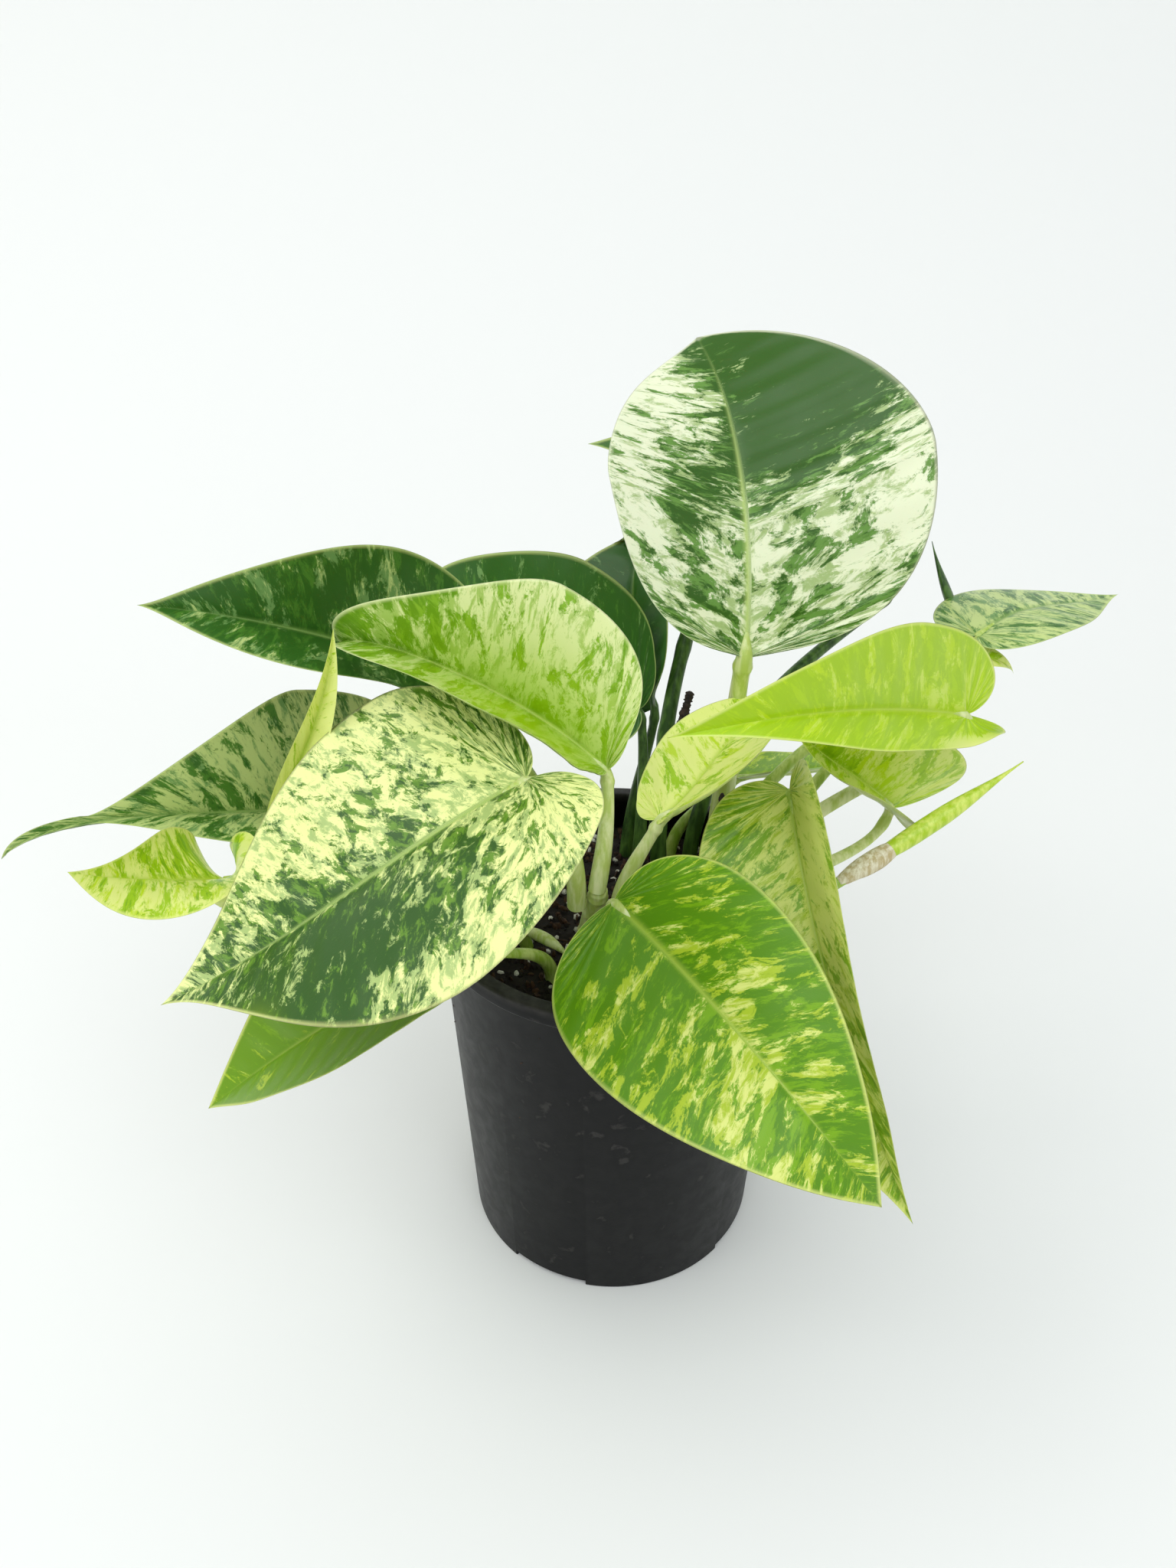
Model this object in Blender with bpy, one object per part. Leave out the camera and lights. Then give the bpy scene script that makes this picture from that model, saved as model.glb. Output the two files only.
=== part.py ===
"""Potted pothos plant: a moulded nursery pot, its potting mix, vines, roots and single leaves.

Metres, +Z up. The origin is the middle of the pot's underside, and -Y is the front.
"""

import math

import bmesh
import bpy
from mathutils import Vector
from mathutils.geometry import interpolate_bezier

MM = 0.001

# Nursery pot
POT_HEIGHT = 123.4 * MM
RIM_OUTER_RADIUS = 54.0 * MM
RIM_BAND_HEIGHT = 5.2 * MM
RIM_UNDERCUT_HEIGHT = 1.9 * MM
RIM_OVERHANG = 2.8 * MM
WALL_TOP_RADIUS = RIM_OUTER_RADIUS - RIM_OVERHANG
WALL_TAPER = 5.9 * MM
WALL_FOOT_RADIUS = WALL_TOP_RADIUS - WALL_TAPER
WALL_THICKNESS = 1.4 * MM
EDGE_ROUND = 0.6 * MM
FLOOR_THICKNESS = 4.5 * MM
POT_STEPS = 56

# Drainage under the pot
CHANNEL_HEIGHT = 2.5 * MM
CHANNEL_START_RADIUS = 14.0 * MM
CHANNEL_WIDTH_DEGREES = 32
CHANNEL_DIRECTIONS = (-27, 63, 153, 243)
DRAIN_HOLE_RADIUS = 3.5 * MM
DRAIN_HOLE_DISTANCE = 30.0 * MM

# Potting mix
SOIL_BELOW_RIM = 10.5 * MM
SOIL_CROWN = 1.0 * MM
SOIL_EDGE_DROP = 2.0 * MM
SOIL_EDGE_WIDTH = 3.0 * MM
CUT_GAP = 0.3 * MM
ROOT_GAP = 0.6 * MM

# Leaves and stalks. The plant is in scale with its pot: the numbers in the lists below are in
# millimetres for a rim of this radius, and grow or shrink with it.
PLANT_RIM_RADIUS = 54.0 * MM
PLANT_MM = MM * RIM_OUTER_RADIUS / PLANT_RIM_RADIUS
BLADE_THICKNESS = 1.0 * MM
BLADE_ROWS = 14
BLADE_COLUMNS = 4
STALK_SIDES = 6
STALK_RINGS = 8
STALK_FOOT_RADIUS = 1.9 * MM
STALK_TOP_RADIUS = 1.2 * MM
STALK_TURN = 7.0
BAR_SIDES = 8
DRIP_HALF_WIDTH = 2.0
VEIN_SLANT = 0.35
ROUND_SHARE = 0.1
HANDLE = 0.36
WELD = 0.02 * MM

LEAF_GREEN = (0.13, 0.32, 0.05, 1.0)
LEAF_LIME = (0.38, 0.58, 0.06, 1.0)
LEAF_CREAM = (0.68, 0.76, 0.42, 1.0)
STALK_GREEN = (0.36, 0.46, 0.12, 1.0)
ROOT_BROWN = (0.06, 0.04, 0.02, 1.0)

# Each leaf, in millimetres and degrees. Heights are from the top of the rim, and a foot with no height
# stands on the soil. base and tip are the ends of its midrib. face is where its
# upper side looks: degrees round from the front, then degrees up. arch and sweep bend the midrib at
# its two ends. half, fold, cup and curl are pairs, for the left and the right half of the blade:
# its width, its angle up from flat at the midrib, the turn it adds out to the margin, and the extra
# turn of its rounded end beside the stalk, which fades out at curl_reach of the length. lobe is how
# far the blade reaches back past the stalk, wide where it is widest, and shoulder how full it stays
# towards the tip, all as shares. drip is the share of the length that is a thin tail.
# The stalk leaves foot towards bend and reaches the blade along arrive.
LEAVES = {
    "leaf_crown": dict(
        base=(35, 14, 69.6), tip=(22, 66, 141), face=(15, -5), arch=(15, 34), sweep=(8, 7),
        half=(40, 54), fold=(5, 2), cup=(20, 14), lobe=-0.02, wide=0.54, shoulder=(0.7, 0.75),
        foot=(30, 20), bend=(34, 27, 26.6), arrive=(0.1, -0.4, 1), colour=LEAF_CREAM,
    ),
    "leaf_front_left": dict(
        base=(-23, -36, 63.6), tip=(-113, -66, 16.6), face=(-58, 36), arch=(20, -8),
        sweep=(-12, -2), half=(50, 44), fold=(24, 12), cup=(-33, -5), curl=(14, 27), wide=0.27,
        shoulder=0.11, foot=(-11, -19, 12.6), bend=(-11, -22, 38.6), arrive=(-0.6, -0.2, 0.8),
        colour=LEAF_CREAM,
    ),
    "leaf_front_right": dict(
        base=(-1, -33, 22.6), tip=(63, -98, -19.4), face=(-4, 47), arch=(7, 47), sweep=(-5, 1),
        half=(29, 36), fold=(21, 15), cup=(-8, -3), lobe=0.02, wide=0.30, shoulder=0.21,
        foot=(-3, -24), bend=(-3, -24, 6.6), arrive=(0.1, -0.5, 0.9), colour=LEAF_GREEN,
    ),
    "leaf_right_folded": dict(
        base=(47, -6, 39.6), tip=(75, -88, -38.4), face=(-15, 7), arch=(13, 13), sweep=(4, 3),
        half=(35, 29), fold=(60, 23), cup=(2, 6), lobe=0.05, wide=0.28, shoulder=0.16,
        foot=(32, 1), bend=(38, 4, 16.6), arrive=(0.2, -0.4, 0.9), colour=LEAF_GREEN,
    ),
    "leaf_centre_left": dict(
        base=(-3, -11, 49.6), tip=(-73, 4, 79.6), face=(0, 50), arch=(-6, 75), sweep=(22, -3),
        half=(32, 41), fold=(61, 69), cup=(19, -34), lobe=0.03, wide=0.47, shoulder=0.28,
        twist=-15, foot=(-5, -19, 18.6), bend=(-3, -18, 31.6), arrive=(-0.1, 0.2, 1),
        colour=LEAF_LIME,
    ),
    "leaf_upper_left": dict(
        base=(-47.5, 32.5, 53.1), tip=(-123.5, 2.1, 91.6), face=(-49, 39), arch=(8, 39),
        sweep=(4, -8), half=(31, 30), fold=(30, 51), cup=(16, 5), lobe=0.04, wide=0.29,
        shoulder=0.09,
        foot=(-14, 24), bend=(-20, 28, 26.6), arrive=(-0.35, -0.15, 1), colour=LEAF_GREEN,
    ),
    "leaf_left_long": dict(
        base=(-62.4, 39.3, 9.1), tip=(-165.9, -20.1, 26.7), face=(-34, 39), arch=(-3, 75),
        sweep=(-8, 1), half=(27, 36), fold=(42, 51), cup=(-2, -11), lobe=0.08, wide=0.35,
        shoulder=-0.15, drip=0.2, foot=(-22, 10), bend=(-26, 14, 10.6), arrive=(-0.7, 0.1, 0.7),
        colour=LEAF_GREEN,
    ),
    "leaf_left_small": dict(
        base=(-101.4, -22.8, 22.1), tip=(-133, -53.7, 48.5), face=(-41, 33), arch=(6, 3),
        sweep=(0, -8), half=(17, 14), fold=(22, 20), cup=(17, 16), lobe=0.06, wide=0.33, shoulder=0.28,
        foot=(-26, -12), bend=(-36, -11, 37.6), arrive=(-0.8, -0.1, 0.5),
        colour=LEAF_LIME,
    ),
    "leaf_low_left": dict(
        base=(-34, -38, 10.6), tip=(-114, -48, -39.4), face=(11, 80), arch=(2, 7), sweep=(12, 5),
        half=(34, 29), fold=(23, 18), cup=(12, -2), lobe=0.08, wide=0.37, shoulder=0.29,
        foot=(-18, -26), bend=(-19, -27, 2.6), arrive=(-0.5, -0.4, 0.6),
        colour=LEAF_GREEN,
    ),
    "leaf_left_new": dict(
        base=(-94.6, -11.3, 31.3), tip=(-70.2, -15.6, 94.4), face=(20, 45), arch=(-15, -8),
        sweep=(6, 11), half=(5, 9), fold=(50, 50), lobe=0, wide=0.34, shoulder=0.28,
        foot=(-27, -3), bend=(-46, -8, 26.6), arrive=(-0.6, -0.2, 0.8),
        colour=LEAF_LIME,
    ),
    "leaf_back_left": dict(
        base=(7.2, 33.6, 41.6), tip=(-61, 71.4, 56.8), face=(15, 36), arch=(3, 65), sweep=(-6, 2),
        half=(22, 33), fold=(10, 30), cup=(0, -5), lobe=0.05, wide=0.39, shoulder=0.25,
        foot=(7, 20), bend=(9, 22, 16.6), arrive=(-0.2, 0.1, 1), colour=LEAF_GREEN,
    ),
    "leaf_back": dict(
        base=(12, 44, 35.6), tip=(9, 75, 78.6), face=(-18, -31), arch=(6, 39), sweep=(-16, 4),
        half=(33, 22), fold=(20, 27), cup=(5, 5), lobe=0, wide=0.35, shoulder=0.34,
        foot=(4, 32), bend=(6, 38, 11.6), arrive=(0, 0.3, 1), colour=LEAF_GREEN,
    ),
    "leaf_behind_crown": dict(
        base=(86, 70, 62.6), tip=(-8, 80, 105.6), face=(28, 47), arch=(4, 33), sweep=(4, 6),
        half=(18, 26), fold=(10, 11), cup=(0, -4), lobe=0, wide=0.45, shoulder=0.18,
        foot=(24, 30), bend=(28, 36, 44.6), arrive=(0.4, 0.1, 1), colour=LEAF_GREEN,
    ),
    "leaf_right_bright": dict(
        base=(98, 14, 51.6), tip=(11, -35, 74.6), face=(13, 40), arch=(7, 55), sweep=(6, 1),
        half=(12, 25), fold=(22, 41), cup=(-15, -9), curl=(90, 0), curl_reach=0.04,
        lobe=(0.17, 0.08), wide=0.36, shoulder=0.12, twist=-7, foot=(38, 9),
        bend=(46, 15, 22.6), arrive=(-0.4, -0.2, 0.9), turn=14, colour=LEAF_LIME,
    ),
    "leaf_centre_young": dict(
        base=(11, -19, 39.6), tip=(51, 17, 50.6), face=(180, 60), arch=(5, 60), sweep=(13, -4),
        half=(17, 28), fold=(21, 5), cup=(18, 21), lobe=0.08, wide=0.35, shoulder=0.21,
        foot=(1, -20, 13.6), bend=(3, -21, 24.6), arrive=(0.4, 0, 1), colour=LEAF_LIME,
    ),
    "leaf_right_small": dict(
        base=(82, 17, 17.6), tip=(49, 10, 50.6), face=(-29, 52), arch=(27, -4), sweep=(-1, -8),
        half=(18, 27), fold=(45, 48), cup=(39, 15), lobe=0.11, wide=0.30, shoulder=0.25,
        foot=(40, -3), bend=(45, -2, 11.6), arrive=(0.3, 0.3, 0.9), turn=18,
        colour=LEAF_LIME,
    ),
    "leaf_right_back": dict(
        base=(103, 33, 66.6), tip=(154, 65, 63.6), face=(190, 83), arch=(22, -3), sweep=(-4, -6),
        half=(23, 18), fold=(2, -1), cup=(-9, -3), lobe=0.08, wide=0.29, shoulder=0.15,
        foot=(33, 25), bend=(42, 30, 34.6), arrive=(0.1, -0.5, 1), turn=12,
        colour=LEAF_GREEN,
    ),
    "leaf_right_low": dict(
        base=(38, 38, 14.6), tip=(84, 52, 19.6), face=(180, 74), arch=(-3, -30), sweep=(1, 3),
        half=(14, 12), fold=(10, 16), cup=(0, 6), lobe=0.05, wide=0.33, shoulder=0.20,
        foot=(18, 32), bend=(20, 36, 2.6), arrive=(0.6, 0.1, 0.8), colour=LEAF_LIME,
    ),
    "leaf_right_curled": dict(
        base=(87.6, 28.6, 63.2), tip=(114, 28.6, 56.4), face=(0, 72), arch=(14, 54), half=(5, 6),
        fold=(9, 12), lobe=0.05, wide=0.33, shoulder=0.30,
        foot=(37, 16), bend=(54, 17, 20.6), arrive=(0.6, 0.2, 0.9), colour=LEAF_LIME,
    ),
}

# Round pieces: four path points in millimetres and the radii along them.
BARS = {
    "vine_front": dict(path=((-8, -12), (-8, -13, 0.6), (-5, -16, 8.6), (-5, -19, 15.6)),
                       radii=(3.0, 2.6), colour=STALK_GREEN),
    "vine_back": dict(path=((14, 22), (12, 27, 21.6), (16, 37, 46.6), (24, 49, 68.6)),
                      radii=(2.6, 2.0), colour=STALK_GREEN),
    "leaf_spear": dict(path=((45, -3), (34, -38, 13), (92, 3, 23), (114, 7, 40.5)),
                       radii=(1.5, 2.5, 0.4), colour=LEAF_LIME),
    "leaf_right_edge": dict(path=((108, 57, 50.6), (103, 60, 60.6), (98, 63, 70.6), (95, 66, 80.6)),
                            radii=(2.4, 1.7, 0.4), colour=LEAF_GREEN),
    "root_centre": dict(path=((24, 5), (27, 8, 4.6), (31, 12, 14.6), (31, 13, 25.6)),
                        radii=(0.7, 0.9), colour=ROOT_BROWN),
    "root_back": dict(path=((18, 29, 34.6), (20, 30, 39.6), (21, 31, 44.6), (22, 32, 48.6)),
                      radii=(1.2, 1.2), colour=ROOT_BROWN),
    "shoot_low": dict(path=((-27, -14, -2.4), (-22, -16, -1.4), (-16, -20, -3.4), (-12, -25, -5.4)),
                      radii=(1.1, 1.4), colour=LEAF_CREAM),
}


def wall_radius(height):
    """Outer radius of the tapered wall at a height."""
    share = height / (POT_HEIGHT - RIM_BAND_HEIGHT - RIM_UNDERCUT_HEIGHT)
    return WALL_FOOT_RADIUS + share * (WALL_TOP_RADIUS - WALL_FOOT_RADIUS)


def soil_radius(height):
    """Radius of the soil at a height, clear of the wall's flat facets."""
    facet_gap = CUT_GAP + WALL_TOP_RADIUS * (1 - math.cos(math.pi / POT_STEPS))
    return wall_radius(height) - WALL_THICKNESS - facet_gap


def soil_surface():
    """The top of the soil from its edge to the middle, as (radius, height) pairs."""
    top = POT_HEIGHT - SOIL_BELOW_RIM
    edge = soil_radius(top)
    return [
        (edge, top - SOIL_EDGE_DROP),
        (edge - SOIL_EDGE_WIDTH, top),
        (edge * 0.5, top + SOIL_CROWN * 0.8),
        (0, top + SOIL_CROWN),
    ]


def soil_height(distance):
    """Height of the soil at a distance from the pot's axis."""
    surface = soil_surface()
    for (outer, low), (inner, high) in zip(surface, surface[1:]):
        if distance >= inner:
            return high + (low - high) * (distance - inner) / (outer - inner)


def point(millimetres):
    """A place in the plant, measured from the middle of the rim's top."""
    return Vector(millimetres) * PLANT_MM + Vector((0, 0, POT_HEIGHT))


def rooted(millimetres, towards, radius):
    """A place like point's, or with no height one where a round end just clears the soil."""
    if len(millimetres) == 3:
        return point(millimetres)
    spot = point((*millimetres, 0))
    spot.z = soil_height(math.hypot(spot.x, spot.y)) + ROOT_GAP
    lean = (towards - spot).normalized()
    spot.z += radius * math.hypot(lean.x, lean.y)
    return spot


def add_object(name, mesh, colour, roughness, smooth=True):
    """A new object in the scene with its own material."""
    material = bpy.data.materials.new(name)
    material.use_nodes = True
    surface = material.node_tree.nodes["Principled BSDF"]
    surface.inputs["Base Color"].default_value = colour
    surface.inputs["Roughness"].default_value = roughness
    surface.inputs["Metallic"].default_value = 0.0
    mesh.materials.append(material)
    if smooth:
        mesh.shade_smooth()
        mesh.set_sharp_from_angle(angle=math.radians(40))
    obj = bpy.data.objects.new(name, mesh)
    bpy.context.scene.collection.objects.link(obj)
    return obj


def hide_helper(obj):
    obj.hide_render = True
    obj.display_type = "WIRE"


def mesh_from(name, form):
    bmesh.ops.recalc_face_normals(form, faces=form.faces)
    mesh = bpy.data.meshes.new(name)
    form.to_mesh(mesh)
    form.free()
    return mesh


def revolved(name, profile, steps):
    """A solid turned from (radius, height) pairs, which start and end on the axis."""
    form = bmesh.new()
    rings = []
    for radius, height in profile:
        if radius == 0:
            rings.append([form.verts.new((0, 0, height))])
            continue
        ring = []
        for step in range(steps):
            turn = 2 * math.pi * step / steps
            ring.append(form.verts.new((radius * math.cos(turn), radius * math.sin(turn), height)))
        rings.append(ring)
    for lower, upper in zip(rings, rings[1:]):
        for step in range(steps):
            after = (step + 1) % steps
            corners = [lower[step % len(lower)], lower[after % len(lower)]]
            corners += [upper[after % len(upper)], upper[step % len(upper)]]
            form.faces.new(list(dict.fromkeys(corners)))
    return mesh_from(name, form)


def prism(name, outline, low, high):
    """An upright prism over a flat outline of (x, y) pairs."""
    form = bmesh.new()
    floor = [form.verts.new((x, y, low)) for x, y in outline]
    roof = [form.verts.new((x, y, high)) for x, y in outline]
    form.faces.new(floor)
    form.faces.new(roof)
    for i in range(len(outline)):
        after = (i + 1) % len(outline)
        form.faces.new((floor[i], floor[after], roof[after], roof[i]))
    return mesh_from(name, form)


def cut(target, cutter):
    modifier = target.modifiers.new(cutter.name, "BOOLEAN")
    modifier.operation = "DIFFERENCE"
    modifier.solver = "EXACT"
    modifier.object = cutter
    hide_helper(cutter)


def make_pot():
    band_low = POT_HEIGHT - RIM_BAND_HEIGHT
    undercut = band_low - RIM_UNDERCUT_HEIGHT
    inner_top = WALL_TOP_RADIUS - WALL_THICKNESS
    inner_foot = wall_radius(FLOOR_THICKNESS) - WALL_THICKNESS
    profile = [
        (0, 0),
        (WALL_FOOT_RADIUS - EDGE_ROUND, 0),
        (WALL_FOOT_RADIUS, EDGE_ROUND),
        (WALL_TOP_RADIUS, undercut),
        (RIM_OUTER_RADIUS, band_low),
        (RIM_OUTER_RADIUS, POT_HEIGHT - EDGE_ROUND),
        (RIM_OUTER_RADIUS - EDGE_ROUND, POT_HEIGHT),
        (inner_top + EDGE_ROUND, POT_HEIGHT),
        (inner_top, POT_HEIGHT - EDGE_ROUND),
        (inner_top, undercut),
        (inner_foot, FLOOR_THICKNESS),
        (0, FLOOR_THICKNESS),
    ]
    pot = add_object("pot", revolved("pot", profile, POT_STEPS), (0.02, 0.02, 0.022, 1), 0.55)
    half = math.radians(CHANNEL_WIDTH_DEGREES / 2)
    reach = RIM_OUTER_RADIUS
    for i, direction in enumerate(CHANNEL_DIRECTIONS):
        middle = math.radians(direction - 90)
        outline = []
        for radius, side in ((CHANNEL_START_RADIUS, -1), (reach, -1), (reach, 1),
                             (CHANNEL_START_RADIUS, 1)):
            turn = middle + side * half
            outline.append((radius * math.cos(turn), radius * math.sin(turn)))
        channel = prism(f"channel_{i}", outline, -CHANNEL_HEIGHT, CHANNEL_HEIGHT)
        cut(pot, add_object(f"channel_{i}", channel, (0.1, 0.1, 0.1, 1), 0.5, False))
        centre = DRAIN_HOLE_DISTANCE * Vector((math.cos(middle), math.sin(middle)))
        hole = []
        for step in range(16):
            turn = 2 * math.pi * step / 16
            hole.append((centre.x + DRAIN_HOLE_RADIUS * math.cos(turn),
                         centre.y + DRAIN_HOLE_RADIUS * math.sin(turn)))
        drain = prism(f"drain_{i}", hole, -CHANNEL_HEIGHT, FLOOR_THICKNESS + CHANNEL_HEIGHT)
        cut(pot, add_object(f"drain_{i}", drain, (0.1, 0.1, 0.1, 1), 0.5, False))


def make_soil():
    low = FLOOR_THICKNESS + CUT_GAP
    profile = [(0, low), (soil_radius(low), low), *soil_surface()]
    add_object("soil", revolved("soil", profile, POT_STEPS), (0.03, 0.022, 0.016, 1), 0.95)


def tube(name, path, radii, sides, rings):
    """A round bar along a Bezier path of four points, its radius blended along it."""
    spots = interpolate_bezier(*path, rings)
    ahead = (spots[1] - spots[0]).normalized()
    across = ahead.orthogonal().normalized()
    form = bmesh.new()
    loops = []
    for i, spot in enumerate(spots):
        before = spots[max(i - 1, 0)]
        after = spots[min(i + 1, rings - 1)]
        ahead = (after - before).normalized()
        across = (across - ahead * across.dot(ahead)).normalized()
        over = ahead.cross(across)
        share = i / (rings - 1)
        radius = radii[0] * (1 - share) + radii[-1] * share
        if len(radii) == 3:
            radius = interpolate_radius(radii, share)
        loop = []
        for side in range(sides):
            turn = 2 * math.pi * side / sides
            offset = across * math.cos(turn) + over * math.sin(turn)
            loop.append(form.verts.new(spot + offset * radius))
        loops.append(loop)
    for lower, upper in zip(loops, loops[1:]):
        for side in range(sides):
            after = (side + 1) % sides
            form.faces.new((lower[side], lower[after], upper[after], upper[side]))
    form.faces.new(loops[0])
    form.faces.new(loops[-1])
    return mesh_from(name, form)


def interpolate_radius(radii, share):
    """Radius along a bar that has a middle radius too."""
    if share < 0.5:
        return radii[0] + (radii[1] - radii[0]) * share * 2
    return radii[1] + (radii[2] - radii[1]) * (share * 2 - 1)


def facing(degrees_round, degrees_up):
    turn, rise = math.radians(degrees_round), math.radians(degrees_up)
    return Vector((math.sin(turn) * math.cos(rise), -math.cos(turn) * math.cos(rise),
                   math.sin(rise)))


class Blade:
    """The curved surface of one leaf: it places any flat point of the leaf in space."""

    def __init__(self, base, tip, face, half, arch=(0, 0), sweep=(0, 0), fold=(0, 0), cup=(0, 0),
                 curl=(0, 0), curl_reach=0.35, lobe=0.1, wide=0.33, shoulder=0.2, drip=0,
                 twist=0):
        self.face = facing(*face)
        start, end = point(base), point(tip)
        span = (end - start).length
        along = (end - start).normalized()
        normal = (self.face - along * self.face.dot(along)).normalized()
        side = along.cross(normal)
        bends = [math.tan(math.radians(angle)) for angle in (*arch, *sweep)]
        leave = (along + normal * bends[0] + side * bends[2]).normalized()
        arrive = (along - normal * bends[1] - side * bends[3]).normalized()
        handle = HANDLE * span
        self.path = (start, start + leave * handle, end - arrive * handle, end)
        self.spots = interpolate_bezier(*self.path, 65)
        self.runs = [0.0]
        for one, two in zip(self.spots, self.spots[1:]):
            self.runs.append(self.runs[-1] + (two - one).length)
        self.length = self.runs[-1]
        self.half, self.fold, self.cup, self.curl = half, fold, cup, curl
        self.lobe = lobe if isinstance(lobe, tuple) else (lobe, lobe)
        self.shoulder = shoulder if isinstance(shoulder, tuple) else (shoulder, shoulder)
        self.curl_reach, self.wide = curl_reach, wide
        self.drip, self.twist = drip, twist

    def frame(self, along):
        """Midrib point at a share of the length, with the forward, up and right directions there."""
        run = min(max(along, 0.0), 1.0) * self.length
        i = 0
        while i < 63 and self.runs[i + 1] < run:
            i += 1
        rest = (run - self.runs[i]) / (self.runs[i + 1] - self.runs[i])
        share = (i + rest) / 64
        a, b, c, d = self.path
        forward = (b - a) * (1 - share) ** 2 + (c - b) * 2 * share * (1 - share) + (d - c) * share**2
        forward.normalize()
        spot = self.spots[i].lerp(self.spots[i + 1], rest)
        spot = spot + forward * min(along, 0.0) * self.length
        up = (self.face - forward * self.face.dot(forward)).normalized()
        right = forward.cross(up)
        turn = math.radians(self.twist) * min(max(along, 0.0), 1.0)
        return (spot, forward, up * math.cos(turn) + right * math.sin(turn),
                right * math.cos(turn) - up * math.sin(turn))

    def outline(self, share, side):
        """Flat margin point, from the notch at the stalk (0) to the tip (1)."""
        width = self.half[side]
        neck = 1 - self.drip
        if share < 0.5:
            t = share * 2
            lobe = self.lobe[side]
            ends = ((0, 0), (0.15 * width, -1.3 * lobe), (width, -lobe), (width, self.wide))
        elif not self.drip:
            t = share * 2 - 1
            ends = ((width, self.wide), (width, max(0.6, self.wide + ROUND_SHARE)),
                    (self.shoulder[side] * width, 0.85), (0, 1))
        elif share < 0.8:
            t = (share - 0.5) / 0.3
            ends = ((width, self.wide), (width, 0.6 * neck),
                    (self.shoulder[side] * width + DRIP_HALF_WIDTH, 0.9 * neck),
                    (DRIP_HALF_WIDTH, neck))
        else:
            t = (share - 0.8) / 0.2
            return DRIP_HALF_WIDTH * (1 - t**3), neck + self.drip * t
        weights = ((1 - t) ** 3, 3 * t * (1 - t) ** 2, 3 * t * t * (1 - t), t**3)
        across = sum(weight * end[0] for weight, end in zip(weights, ends))
        along = sum(weight * end[1] for weight, end in zip(weights, ends))
        return across, along

    def vein_start(self, share):
        """Share of the midrib where the side vein to a margin point starts."""
        along = self.outline(share, 0)[1]
        if share == 1:
            return 1.0
        return min(max(along - VEIN_SLANT * (1 - share), 0.0), 0.98)

    def place(self, across, along, side):
        """The point in space of a flat point, across in millimetres and along as a share."""
        spot, _, up, right = self.frame(along)
        near_stalk = min(max((self.curl_reach - along) / (self.curl_reach + 0.1), 0.0), 1.0)
        extra = self.curl[side] * near_stalk**2 * (3 - 2 * near_stalk)
        turn = math.radians(self.cup[side] + extra) * across / self.half[side]
        chord = across * PLANT_MM * (math.sin(turn / 2) / (turn / 2) if turn else 1.0)
        angle = math.radians(self.fold[side]) + turn / 2
        outward = right if side else -right
        return spot + outward * chord * math.cos(angle) + up * chord * math.sin(angle)


def add_lower_skin(form):
    """Makes a sheet solid: full thickness inside, thinning to nothing at the margin."""
    form.normal_update()
    lower = {}
    for vert in list(form.verts):
        if vert.is_boundary:
            lower[vert] = vert
        else:
            lower[vert] = form.verts.new(vert.co - vert.normal * BLADE_THICKNESS / 2)
    for face in list(form.faces):
        form.faces.new([lower[vert] for vert in reversed(face.verts)])
    for upper, under in lower.items():
        if upper is not under:
            upper.co = upper.co * 2 - under.co


def make_leaf(name, sizes):
    """A leaf blade, and its stalk as a piece of its own."""
    sizes = dict(sizes)
    colour, bend = sizes.pop("colour"), point(sizes.pop("bend"))
    foot = rooted(sizes.pop("foot"), bend, STALK_FOOT_RADIUS)
    arrive = Vector(sizes.pop("arrive")).normalized()
    turn = sizes.pop("turn", STALK_TURN) * PLANT_MM
    blade = Blade(**sizes)
    form = bmesh.new()
    for side in (0, 1):
        grid = []
        for row in range(BLADE_ROWS + 1):
            share = row / BLADE_ROWS
            across, along = blade.outline(share, side)
            start = blade.vein_start(share)
            line = []
            for column in range(BLADE_COLUMNS + 1):
                out = column / BLADE_COLUMNS
                spot = blade.place(across * out, start + (along - start) * out, side)
                line.append(form.verts.new(spot))
            grid.append(line)
        for lower, upper in zip(grid, grid[1:]):
            for column in range(BLADE_COLUMNS):
                quad = [lower[column], lower[column + 1], upper[column + 1], upper[column]]
                form.faces.new(quad if side else quad[::-1])
    bmesh.ops.remove_doubles(form, verts=form.verts, dist=WELD)
    add_lower_skin(form)
    add_object(name, mesh_from(name, form), colour, 0.4)
    end = blade.frame(0.0)[0] - arrive * (STALK_TOP_RADIUS + BLADE_THICKNESS / 2)
    path = (foot, bend, end - arrive * turn, end)
    stalk_name = name.replace("leaf", "stalk")
    stalk = tube(stalk_name, path, (STALK_FOOT_RADIUS, STALK_TOP_RADIUS), STALK_SIDES, STALK_RINGS)
    add_object(stalk_name, stalk, STALK_GREEN, 0.4)


def make_bar(name, sizes):
    radii = [radius * MM for radius in sizes["radii"]]
    path = [point(spot) for spot in sizes["path"][1:]]
    path.insert(0, rooted(sizes["path"][0], path[0], radii[0]))
    bar = tube(name, path, radii, BAR_SIDES, STALK_RINGS)
    add_object(name, bar, sizes["colour"], 0.5)


def main():
    for obj in list(bpy.data.objects):
        bpy.data.objects.remove(obj, do_unlink=True)
    make_pot()
    make_soil()
    for name, sizes in LEAVES.items():
        make_leaf(name, sizes)
    for name, sizes in BARS.items():
        make_bar(name, sizes)


main()
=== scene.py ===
# %% [markdown]
# # A potted pothos, made leaf by leaf
# The plant stands in a moulded nursery pot of potting mix. Every leaf is a thin blade that hangs
# from its own stalk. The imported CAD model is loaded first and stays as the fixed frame: each piece
# below is made in the same coordinates, in metres, and stands for the CAD node it is named after.

import math

import bmesh
import bpy
import numpy as np
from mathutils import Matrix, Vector, noise


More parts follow.
